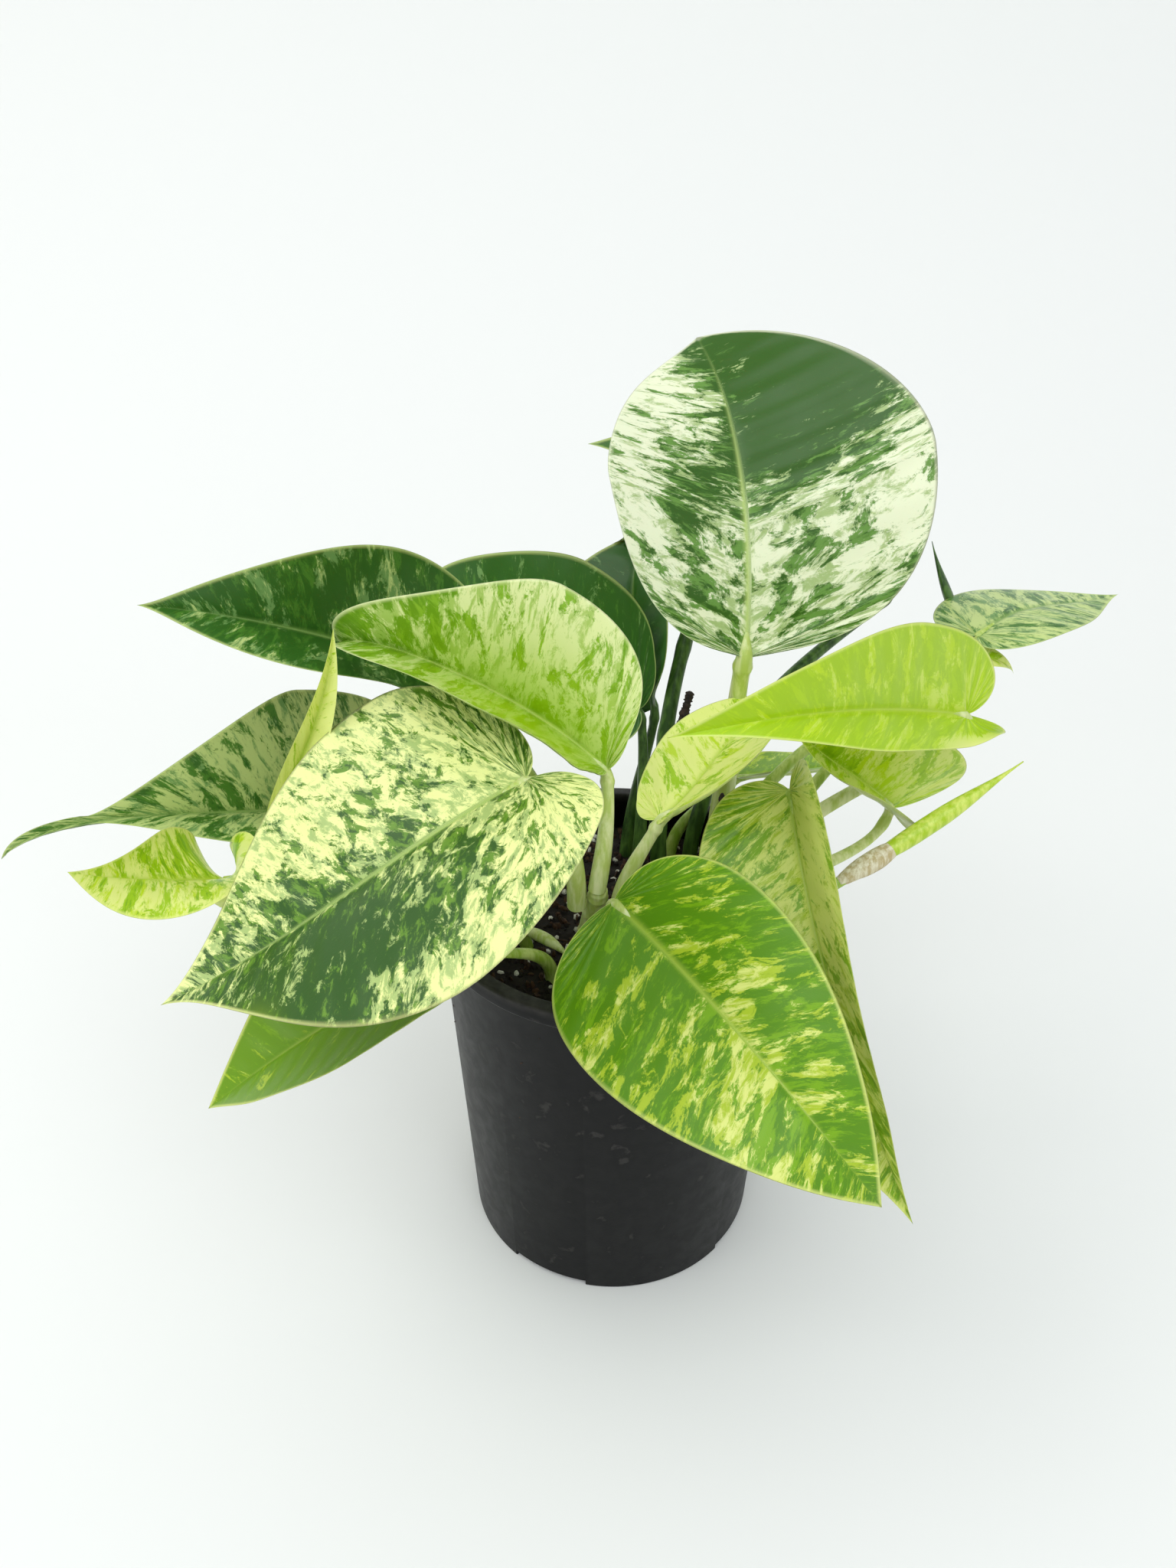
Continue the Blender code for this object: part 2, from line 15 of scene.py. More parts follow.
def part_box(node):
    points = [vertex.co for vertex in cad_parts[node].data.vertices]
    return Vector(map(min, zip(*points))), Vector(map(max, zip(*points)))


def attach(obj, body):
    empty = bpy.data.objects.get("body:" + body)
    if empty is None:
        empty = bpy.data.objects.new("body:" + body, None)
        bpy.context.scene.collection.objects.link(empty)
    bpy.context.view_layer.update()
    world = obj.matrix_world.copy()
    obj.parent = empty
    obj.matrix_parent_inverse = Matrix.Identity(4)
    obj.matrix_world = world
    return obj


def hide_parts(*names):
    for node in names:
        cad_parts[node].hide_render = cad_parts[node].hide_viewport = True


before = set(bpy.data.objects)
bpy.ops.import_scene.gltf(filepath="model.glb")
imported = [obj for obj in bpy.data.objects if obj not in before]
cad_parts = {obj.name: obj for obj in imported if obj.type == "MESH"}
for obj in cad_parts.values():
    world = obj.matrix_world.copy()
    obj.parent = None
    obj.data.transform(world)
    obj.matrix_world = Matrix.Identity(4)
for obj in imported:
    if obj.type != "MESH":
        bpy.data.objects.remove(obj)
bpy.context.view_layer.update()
MM = 0.001
POT_LOW, POT_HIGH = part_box("pot")
RIM_HEIGHT = POT_HIGH[2]
RIM_RADIUS = (POT_HIGH[0] - POT_LOW[0]) / 2
SOIL_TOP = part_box("soil")[1][2]
print(f"pot {RIM_HEIGHT / MM:.1f} mm high, rim radius {RIM_RADIUS / MM:.1f} mm")

# %% [markdown]
# ## Helpers for meshes and materials
# Colours are written as hex values, as on a paint chart, and turned to linear light.
# One function adds any node with its settings and links, so every material reads as a short list.


# %% Colour, nodes and materials
def linear(hex_colour):
    """An sRGB hex value as the linear colour that a shader takes."""
    parts = [int(hex_colour[i : i + 2], 16) / 255 for i in (1, 3, 5)]
    return [p / 12.92 if p <= 0.04045 else ((p + 0.055) / 1.055) ** 2.4 for p in parts] + [1.0]


def add_node(tree, kind, inputs=None, **settings):
    """A node with its settings; each input gets a value, or a link if it is given a socket."""
    node = tree.nodes.new(kind)
    for name, value in settings.items():
        setattr(node, name, value)
    for key, value in (inputs or {}).items():
        if isinstance(value, bpy.types.NodeSocket):
            tree.links.new(value, node.inputs[key])
        else:
            node.inputs[key].default_value = value
    return node


def new_material(name, **values):
    """An empty material with one Principled shader whose plain values are set on its own sockets."""
    material = bpy.data.materials.new(name)
    material.use_nodes = True
    shader = material.node_tree.nodes["Principled BSDF"]
    for socket, value in values.items():
        shader.inputs[socket.replace("_", " ")].default_value = value
    return material, material.node_tree, shader


def finish_piece(obj, material, node):
    """Gives a piece its material, its body and the CAD node that it stands for."""
    obj.data.materials.clear()
    obj.data.materials.append(material)
    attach(obj, "root")
    if node:
        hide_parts(node)


def mesh_object(name, points, faces, smooth=True):
    """A mesh object at the origin, with its place in its points."""
    mesh = bpy.data.meshes.new(name)
    mesh.from_pydata([tuple(p) for p in points], [], faces)
    mesh.validate()
    if smooth:
        mesh.shade_smooth()
    obj = bpy.data.objects.new(name, mesh)
    bpy.context.scene.collection.objects.link(obj)
    return obj


def face_outward(obj, merge_within=0.0):
    """Turns every face of a closed piece outwards, after merging points that are this close."""
    form = bmesh.new()
    form.from_mesh(obj.data)
    if merge_within:
        bmesh.ops.remove_doubles(form, verts=form.verts, dist=merge_within)
    bmesh.ops.recalc_face_normals(form, faces=form.faces)
    form.to_mesh(obj.data)
    form.free()


def blend(low, high, value):
    """0 below low, 1 above high, and a smooth step between."""
    share = np.clip((value - low) / (high - low), 0, 1)
    return share * share * (3 - 2 * share)


# %% [markdown]
# ## The camera, the floor and the light
# The view is from a little above, 34 degrees down, as someone bending over a table sees the plant.
# The floor is a pale sheet that rises behind the pot in one curve, so no horizon cuts the picture.
# One big soft light stands up on the left, and the pale surroundings fill the shadows.

# %% Camera, sweep and lamps
CAMERA_PLACE = (-0.0079, -0.316, 0.375)
CAMERA_PITCH = 34.1
CAMERA_LENS = 31.64

scene = bpy.context.scene
camera = bpy.data.objects.new("camera", bpy.data.cameras.new("camera"))
camera.location = CAMERA_PLACE
camera.rotation_euler = (math.radians(90 - CAMERA_PITCH), 0, 0)
camera.data.lens = CAMERA_LENS
camera.data.sensor_width = 36
camera.data.sensor_fit = "AUTO"
camera.data.clip_start = 0.01
scene.collection.objects.link(camera)
scene.camera = camera

SWEEP_START = 0.30
SWEEP_RADIUS = 0.35
profile = [(-2.5, 0.0), (SWEEP_START, 0.0)]
for step in range(1, 25):
    turn = math.pi / 2 * step / 24
    profile.append(
        (SWEEP_START + SWEEP_RADIUS * math.sin(turn), SWEEP_RADIUS * (1 - math.cos(turn)))
    )
profile.append((SWEEP_START + SWEEP_RADIUS, 2.5))
points = [(x, y, z) for y, z in profile for x in (-3.0, 3.0)]
faces = [(2 * i, 2 * i + 1, 2 * i + 3, 2 * i + 2) for i in range(len(profile) - 1)]
floor = mesh_object("floor", points, faces)
paper, tree, shader = new_material("paper_sweep", Base_Color=linear("#EDEEEB"), Roughness=0.85)
floor.data.materials.append(paper)

world = bpy.data.worlds.new("studio")
world.use_nodes = True
world.node_tree.nodes["Background"].inputs["Color"].default_value = linear("#F4F7FA")
world.node_tree.nodes["Background"].inputs["Strength"].default_value = 0.80
scene.world = world
scene.view_settings.view_transform = "Standard"


def area_lamp(name, place, target, size, watts, colour):
    """A rectangular soft light at a place, turned towards its target."""
    lamp = bpy.data.lights.new(name, "AREA")
    lamp.shape = "RECTANGLE"
    lamp.size, lamp.size_y = size
    lamp.energy = watts
    lamp.color = linear(colour)[:3]
    obj = bpy.data.objects.new(name, lamp)
    obj.location = place
    obj.rotation_euler = (Vector(target) - Vector(place)).to_track_quat("-Z", "Y").to_euler()
    scene.collection.objects.link(obj)


area_lamp("window", (-0.9, -0.15, 1.25), (0, 0, 0.1), (1.0, 0.8), 5, "#FFFDF8")
area_lamp("ceiling", (0.1, -0.9, 1.4), (0, 0, 0.1), (1.4, 1.0), 10, "#F6FAFF")
print("camera, sweep and two lamps are in place")

# %% [markdown]
# ## How one leaf is shaped
# A pothos leaf grows as two halves on a midrib. The midrib is a curve in space, and each half is
# a sheet that leaves it at an angle and then curls. Side veins run from the midrib forwards to the
# margin, so the mesh follows them: each row of faces is one vein line. The same numbers as the CAD
# model's place the blade; what is added here is the fine surface, the groove over the midrib, its
# rib below, the gentle swell between side veins and a margin that thins to an edge.
# Heights are from the top of the rim; base and tip are the ends of the midrib; face is where the
# upper side looks, in degrees round from the front and up; pairs are for the left and right half.

# %% The nineteen leaves
LEAVES = {
    "leaf_crown": dict(
        base=(35, 14, 69.6), tip=(22, 66, 141), face=(15, -5), arch=(15, 34), sweep=(8, 7),
        half=(40, 54), fold=(5, 2), cup=(20, 14), lobe=-0.02, wide=0.54, shoulder=(0.7, 0.75),
        foot=(30, 20), bend=(34, 27, 26.6), arrive=(0.1, -0.4, 1),
    ),
    "leaf_front_left": dict(
        base=(-23, -36, 63.6), tip=(-113, -66, 16.6), face=(-58, 36), arch=(20, -8),
        sweep=(-12, -2), half=(50, 44), fold=(24, 12), cup=(-33, -5), curl=(14, 27), wide=0.27,
        shoulder=0.11, foot=(-11, -19, 12.6), bend=(-11, -22, 38.6), arrive=(-0.6, -0.2, 0.8),
    ),
    "leaf_front_right": dict(
        base=(-1, -33, 22.6), tip=(63, -98, -19.4), face=(-4, 47), arch=(7, 47), sweep=(-5, 1),
        half=(29, 36), fold=(21, 15), cup=(-8, -3), lobe=0.02, wide=0.30, shoulder=0.21,
        foot=(-3, -24), bend=(-3, -24, 6.6), arrive=(0.1, -0.5, 0.9),
    ),
    "leaf_right_folded": dict(
        base=(47, -6, 39.6), tip=(75, -88, -38.4), face=(-15, 7), arch=(13, 13), sweep=(4, 3),
        half=(35, 29), fold=(60, 23), cup=(2, 6), lobe=0.05, wide=0.28, shoulder=0.16,
        foot=(32, 1), bend=(38, 4, 16.6), arrive=(0.2, -0.4, 0.9),
    ),
    "leaf_centre_left": dict(
        base=(-3, -11, 49.6), tip=(-73, 4, 79.6), face=(0, 50), arch=(-6, 75), sweep=(22, -3),
        half=(32, 41), fold=(61, 69), cup=(19, -34), lobe=0.03, wide=0.47, shoulder=0.28,
        twist=-15, foot=(-5, -19, 18.6), bend=(-3, -18, 31.6), arrive=(-0.1, 0.2, 1),
    ),
    "leaf_upper_left": dict(
        base=(-47.5, 32.5, 53.1), tip=(-123.5, 2.1, 91.6), face=(-49, 39), arch=(8, 39),
        sweep=(4, -8), half=(31, 30), fold=(30, 51), cup=(16, 5), lobe=0.04, wide=0.29,
        shoulder=0.09,
        foot=(-14, 24), bend=(-20, 28, 26.6), arrive=(-0.35, -0.15, 1),
    ),
    "leaf_left_long": dict(
        base=(-62.4, 39.3, 9.1), tip=(-165.9, -20.1, 26.7), face=(-34, 39), arch=(-3, 75),
        sweep=(-8, 1), half=(27, 36), fold=(42, 51), cup=(-2, -11), lobe=0.08, wide=0.35,
        shoulder=-0.15, drip=0.2, foot=(-22, 10), bend=(-26, 14, 10.6), arrive=(-0.7, 0.1, 0.7),
    ),
    "leaf_left_small": dict(
        base=(-101.4, -22.8, 22.1), tip=(-133, -53.7, 48.5), face=(-41, 33), arch=(6, 3),
        sweep=(0, -8), half=(17, 14), fold=(22, 20), cup=(17, 16), lobe=0.06, wide=0.33, shoulder=0.28,
        foot=(-26, -12), bend=(-36, -11, 37.6), arrive=(-0.8, -0.1, 0.5),
    ),
    "leaf_low_left": dict(
        base=(-34, -38, 10.6), tip=(-114, -48, -39.4), face=(11, 80), arch=(2, 7), sweep=(12, 5),
        half=(34, 29), fold=(23, 18), cup=(12, -2), lobe=0.08, wide=0.37, shoulder=0.29,
        foot=(-18, -26), bend=(-19, -27, 2.6), arrive=(-0.5, -0.4, 0.6),
    ),
    "leaf_left_new": dict(
        base=(-94.6, -11.3, 31.3), tip=(-70.2, -15.6, 94.4), face=(20, 45), arch=(-15, -8),
        sweep=(6, 11), half=(5, 9), fold=(50, 50), lobe=0, wide=0.34, shoulder=0.28,
        foot=(-27, -3), bend=(-46, -8, 26.6), arrive=(-0.6, -0.2, 0.8),
    ),
    "leaf_back_left": dict(
        base=(7.2, 33.6, 41.6), tip=(-61, 71.4, 56.8), face=(15, 36), arch=(3, 65), sweep=(-6, 2),
        half=(22, 33), fold=(10, 30), cup=(0, -5), lobe=0.05, wide=0.39, shoulder=0.25,
        foot=(7, 20), bend=(9, 22, 16.6), arrive=(-0.2, 0.1, 1),
    ),
    "leaf_back": dict(
        base=(12, 44, 35.6), tip=(9, 75, 78.6), face=(-18, -31), arch=(6, 39), sweep=(-16, 4),
        half=(33, 22), fold=(20, 27), cup=(5, 5), lobe=0, wide=0.35, shoulder=0.34,
        foot=(4, 32), bend=(6, 38, 11.6), arrive=(0, 0.3, 1),
    ),
    "leaf_behind_crown": dict(
        base=(86, 70, 62.6), tip=(-8, 80, 105.6), face=(28, 47), arch=(4, 33), sweep=(4, 6),
        half=(18, 26), fold=(10, 11), cup=(0, -4), lobe=0, wide=0.45, shoulder=0.18,
        foot=(24, 30), bend=(28, 36, 44.6), arrive=(0.4, 0.1, 1),
    ),
    "leaf_right_bright": dict(
        base=(98, 14, 51.6), tip=(11, -35, 74.6), face=(13, 40), arch=(7, 55), sweep=(6, 1),
        half=(12, 25), fold=(22, 41), cup=(-15, -9), curl=(90, 0), curl_reach=0.04,
        lobe=(0.17, 0.08), wide=0.36, shoulder=0.12, twist=-7, foot=(38, 9),
        bend=(46, 15, 22.6), arrive=(-0.4, -0.2, 0.9), turn=14,
    ),
    "leaf_centre_young": dict(
        base=(11, -19, 39.6), tip=(51, 17, 50.6), face=(180, 60), arch=(5, 60), sweep=(13, -4),
        half=(17, 28), fold=(21, 5), cup=(18, 21), lobe=0.08, wide=0.35, shoulder=0.21,
        foot=(1, -20, 13.6), bend=(3, -21, 24.6), arrive=(0.4, 0, 1),
    ),
    "leaf_right_small": dict(
        base=(82, 17, 17.6), tip=(49, 10, 50.6), face=(-29, 52), arch=(27, -4), sweep=(-1, -8),
        half=(18, 27), fold=(45, 48), cup=(39, 15), lobe=0.11, wide=0.30, shoulder=0.25,
        foot=(40, -3), bend=(45, -2, 11.6), arrive=(0.3, 0.3, 0.9), turn=18,
    ),
    "leaf_right_back": dict(
        base=(103, 33, 66.6), tip=(154, 65, 63.6), face=(190, 83), arch=(22, -3), sweep=(-4, -6),
        half=(23, 18), fold=(2, -1), cup=(-9, -3), lobe=0.08, wide=0.29, shoulder=0.15,
        foot=(33, 25), bend=(42, 30, 34.6), arrive=(0.1, -0.5, 1), turn=12,
    ),
    "leaf_right_low": dict(
        base=(38, 38, 14.6), tip=(84, 52, 19.6), face=(180, 74), arch=(-3, -30), sweep=(1, 3),
        half=(14, 12), fold=(10, 16), cup=(0, 6), lobe=0.05, wide=0.33, shoulder=0.20,
        foot=(18, 32), bend=(20, 36, 2.6), arrive=(0.6, 0.1, 0.8),
    ),
    "leaf_right_curled": dict(
        base=(87.6, 28.6, 63.2), tip=(114, 28.6, 56.4), face=(0, 72), arch=(14, 54), half=(5, 6),
        fold=(9, 12), lobe=0.05, wide=0.33, shoulder=0.30,
        foot=(37, 16), bend=(54, 17, 20.6), arrive=(0.6, 0.2, 0.9),
    ),
}
print(f"{len(LEAVES)} leaves to make")

# %% [markdown]
# ## From sizes to a surface
# A blade could be bent with modifiers, but a formula keeps each vein a straight row of the mesh.
# It takes a flat point of the leaf, across and along, and says where that point lies in space.

# %% A blade as a surface
PLANT_RIM_RADIUS = 54.0 * MM
PLANT_MM = MM * RIM_RADIUS / PLANT_RIM_RADIUS
HANDLE = 0.36
DRIP_HALF_WIDTH = 2.0
VEIN_SLANT = 0.35
ROUND_SHARE = 0.1
MIDRIB_STEPS = 65


def place_in_plant(millimetres):
    """A place in metres from one in millimetres, measured from the middle of the rim's top."""
    return np.array(millimetres, float) * PLANT_MM + np.array((0, 0, RIM_HEIGHT))


def unit(vectors):
    """Vectors of length one with these directions."""
    vectors = np.asarray(vectors, float)
    return vectors / np.linalg.norm(vectors, axis=-1, keepdims=True)


def bezier(points, t):
    """Points on a cubic curve with four control points, at these shares of it."""
    t = np.asarray(t, float)[..., None]
    a, b, c, d = points
    return a * (1 - t) ** 3 + 3 * b * t * (1 - t) ** 2 + 3 * c * t * t * (1 - t) + d * t**3


class Blade:
    """One leaf's surface, and where its midrib runs."""

    def __init__(self, base, tip, face, half, arch=(0, 0), sweep=(0, 0), fold=(0, 0), cup=(0, 0),
                 curl=(0, 0), curl_reach=0.35, lobe=0.1, wide=0.33, shoulder=0.2, drip=0,
                 twist=0):
        turn, rise = (math.radians(angle) for angle in face)
        self.face = np.array((math.sin(turn) * math.cos(rise), -math.cos(turn) * math.cos(rise),
                              math.sin(rise)))
        start, end = place_in_plant(base), place_in_plant(tip)
        along = unit(end - start)
        normal = unit(self.face - along * (self.face @ along))
        side = np.cross(along, normal)
        bends = [math.tan(math.radians(angle)) for angle in (*arch, *sweep)]
        leave = unit(along + normal * bends[0] + side * bends[2])
        arrive = unit(along - normal * bends[1] - side * bends[3])
        handle = HANDLE * np.linalg.norm(end - start)
        self.path = (start, start + leave * handle, end - arrive * handle, end)
        spots = bezier(self.path, np.linspace(0, 1, MIDRIB_STEPS))
        runs = np.linalg.norm(np.diff(spots, axis=0), axis=1)
        self.runs = np.concatenate([[0], np.cumsum(runs)])
        self.length = self.runs[-1]
        self.half, self.fold, self.cup, self.curl = half, fold, cup, curl
        self.lobe = lobe if isinstance(lobe, tuple) else (lobe, lobe)
        self.shoulder = shoulder if isinstance(shoulder, tuple) else (shoulder, shoulder)
        self.curl_reach, self.wide = curl_reach, wide
        self.drip, self.twist = drip, twist

    def frame(self, along):
        """Midrib points at shares of the length, with the forward, up and right directions."""
        along = np.asarray(along, float)
        within = np.clip(along, 0, 1)
        t = np.interp(within * self.length, self.runs, np.linspace(0, 1, MIDRIB_STEPS))
        a, b, c, d = self.path
        u = t[..., None]
        forward = unit((b - a) * (1 - u) ** 2 + (c - b) * 2 * u * (1 - u) + (d - c) * u**2)
        spot = bezier(self.path, t) + forward * (np.minimum(along, 0) * self.length)[..., None]
        up = unit(self.face - forward * (forward @ self.face)[..., None])
        right = np.cross(forward, up)
        turn = np.radians(self.twist) * within[..., None]
        return (spot, forward, up * np.cos(turn) + right * np.sin(turn),
                right * np.cos(turn) - up * np.sin(turn))

    def outline(self, share, side):
        """Flat margin points, from the notch at the stalk (0) to the tip (1)."""
        width, lobe, neck = self.half[side], self.lobe[side], 1 - self.drip
        share = np.asarray(share, float)
        notch = [np.array(p) for p in ((0.0, 0.0), (0.15 * width, -1.3 * lobe), (width, -lobe),
                                       (width, self.wide))]
        lower = bezier(notch, np.clip(share * 2, 0, 1))
        if not self.drip:
            round_off = max(0.6, self.wide + ROUND_SHARE)
            end = [np.array(p) for p in ((width, self.wide), (width, round_off),
                                         (self.shoulder[side] * width, 0.85), (0.0, 1.0))]
            upper = bezier(end, np.clip(share * 2 - 1, 0, 1))
            return np.where((share < 0.5)[..., None], lower, upper)
        end = [np.array(p) for p in ((width, self.wide), (width, 0.6 * neck),
                                     (self.shoulder[side] * width + DRIP_HALF_WIDTH, 0.9 * neck),
                                     (DRIP_HALF_WIDTH, neck))]
        upper = bezier(end, np.clip((share - 0.5) / 0.3, 0, 1))
        t = np.clip((share - 0.8) / 0.2, 0, 1)
        tail = np.stack([DRIP_HALF_WIDTH * (1 - t**3), neck + self.drip * t], axis=-1)
        shape = np.where((share < 0.5)[..., None], lower, upper)
        return np.where((share < 0.8)[..., None], shape, tail)

    def vein_start(self, share):
        """Where on the midrib the side vein to each margin point starts."""
        along = self.outline(share, 0)[..., 1]
        start = np.clip(along - VEIN_SLANT * (1 - share), 0, 0.98)
        return np.where(share >= 1, 1.0, start)

    def place(self, across, along, side):
        """Points in space of flat points, across in millimetres and along as a share."""
        spot, _, up, right = self.frame(along)
        near_stalk = blend(0, 1, (self.curl_reach - along) / (self.curl_reach + 0.1))
        turn = np.radians(self.cup[side] + self.curl[side] * near_stalk) * across / self.half[side]
        chord = across * PLANT_MM * np.sinc(turn / 2 / math.pi)
        angle = np.radians(self.fold[side]) + turn / 2
        outward = right if side else -right
        return (spot + outward * (chord * np.cos(angle))[..., None]
                + up * (chord * np.sin(angle))[..., None])


# %% [markdown]
# ## From the surface to a leaf you could pick up
# Two skins meet at the margin: the upper one and, half a millimetre below it, the lower one, which
# swells into the rib under the midrib. Each point also keeps what the paint needs to know: how far
# out along its vein it lies, which vein that is, how near it is to the midrib and to the margin,
# and how green or how cream the plant made it there.

# %% Build one blade
VEIN_ROWS = 96
VEIN_STEPS = 34
BLADE_THICKNESS = 0.45
RIB_DEPTH = 0.9
RIB_HALF_WIDTH = 1.1
GROOVE_DEPTH = 0.3
VEIN_SPACING = 6.5
VEIN_SWELL = 0.18
WELD_PLACES = 7


def grid_normals(grid):
    """Normals of a grid of points, of any length, from the differences to its neighbours."""
    return np.cross(np.gradient(grid, axis=0), np.gradient(grid, axis=1))


def blotches(along, across, zones):
    """How cream (+) or green (-) each point is, from a few patches (along, across, size, amount)."""
    total = np.zeros_like(along)
    for centre_along, centre_across, size, amount in zones:
        distance = np.hypot(along - centre_along, (across - centre_across) * 0.5)
        total += amount * np.exp(-((distance / size) ** 2))
    return total


def make_blade(name, sizes, look, number):
    """A two-skinned leaf with the attributes vein, tone, lime, rib, edge and under."""
    blade = Blade(**sizes)
    rng = np.random.default_rng(number)
    waves = rng.uniform(-1, 1, 6)
    points, facts, faces = [], [], []
    share = np.linspace(0, 1, VEIN_ROWS + 1)
    out = blend(0, 1, np.linspace(0, 1, VEIN_STEPS + 1)) * 0.35 + np.linspace(0, 1, VEIN_STEPS + 1) * 0.65
    for side in (0, 1):
        margin = blade.outline(share, side)
        start = blade.vein_start(share)
        across = margin[:, :1] * out
        along = start[:, None] + (margin[:, 1] - start)[:, None] * out
        grid = blade.place(across, along, side)
        normal = grid_normals(grid) * (-1 if side else 1)
        size = np.linalg.norm(normal, axis=-1, keepdims=True)
        up = blade.frame(along)[2]
        normal = np.where(size > 1e-12, normal / np.maximum(size, 1e-12), up)
        normal = unit(up + (normal - up) * blend(0, RIB_HALF_WIDTH, across)[..., None])
        reach = np.hypot(across, (along - start[:, None]) * blade.length / PLANT_MM)
        row_length = np.maximum(reach[:, -1:], 1e-6)
        from_margin = row_length - reach
        vein_line = share[:, None] * blade.length / PLANT_MM * 1.25 + 0 * reach
        thin = blend(0, 2.0, from_margin)
        body = np.exp(-((across / RIB_HALF_WIDTH) ** 2)) * blend(1.02, 0.55, along) * thin
        away = blend(0, 4, reach) * blend(0, 6, from_margin)
        swell = VEIN_SWELL * np.sin(vein_line / VEIN_SPACING * 2 * math.pi) * away
        ripple = look.get("ripple", 0.5) * blend(4, 22, reach) * (
            np.sin(share[:, None] * (9 + 3 * waves[0]) + waves[1] * 3)
            + 0.6 * np.sin(share[:, None] * (19 + 4 * waves[2]) + waves[3] * 3)) * out**2
        rise = (swell + ripple - GROOVE_DEPTH * body) * MM
        upper = grid + normal * rise[..., None]
        depth = (BLADE_THICKNESS * thin + RIB_DEPTH * body) * MM
        lower = upper - normal * depth[..., None]
        signed = across / blade.half[side] * (1 if side else -1)
        tone = look["cream"] + blotches(along, signed, look.get("zones", ()))
        lime = look.get("lime", 0) + blotches(along, signed, look.get("limes", ()))
        rib = np.exp(-((across / (0.35 + 0.6 * blend(1, 0, along))) ** 2)) * blend(1.1, 0.3, along)
        rib = rib * 0.8
        edge = 1 - blend(0.2, 1.2, from_margin)
        for skin, under in ((upper, 0.0), (lower, 1.0)):
            first = len(points)
            for i in range(VEIN_ROWS + 1):
                for j in range(VEIN_STEPS + 1):
                    points.append(skin[i, j])
                    facts.append((reach[i, j], vein_line[i, j] + side * 400, number * 9.7,
                                  tone[i, j], lime[i, j], rib[i, j], edge[i, j], under))
            for i in range(VEIN_ROWS):
                for j in range(VEIN_STEPS):
                    a = first + i * (VEIN_STEPS + 1) + j
                    quad = (a, a + 1, a + VEIN_STEPS + 2, a + VEIN_STEPS + 1)
                    faces.append(quad if side != under else quad[::-1])
    points, facts = np.array(points), np.array(facts)
    _, keep, index = np.unique(np.round(points, WELD_PLACES), axis=0, return_index=True,
                               return_inverse=True)
    index = index.reshape(-1)
    welded = []
    for face in faces:
        corners = list(dict.fromkeys(int(index[corner]) for corner in face))
        if len(corners) > 2:
            welded.append(corners)
    obj = mesh_object(name, points[keep], welded)
    facts = facts[keep]
    store = obj.data.attributes
    store.new("vein", "FLOAT_VECTOR", "POINT").data.foreach_set("vector", facts[:, :3].ravel())
    for column, attribute in enumerate(("tone", "lime", "rib", "edge", "under"), start=3):
        store.new(attribute, "FLOAT", "POINT").data.foreach_set("value", facts[:, column])
    return obj, blade


# %% [markdown]
# ## Marbled leaf skin
# The marbling comes from two cell layers that each lost their green by chance, so two fields of
# streaks lie over each other: where both layers are green the leaf is dark, where one is it turns
# sage or mid green, and where neither is it is cream. The streaks run along the side veins, so
# the noise is stretched along the vein coordinates. A waxy skin gives a soft satin gloss.


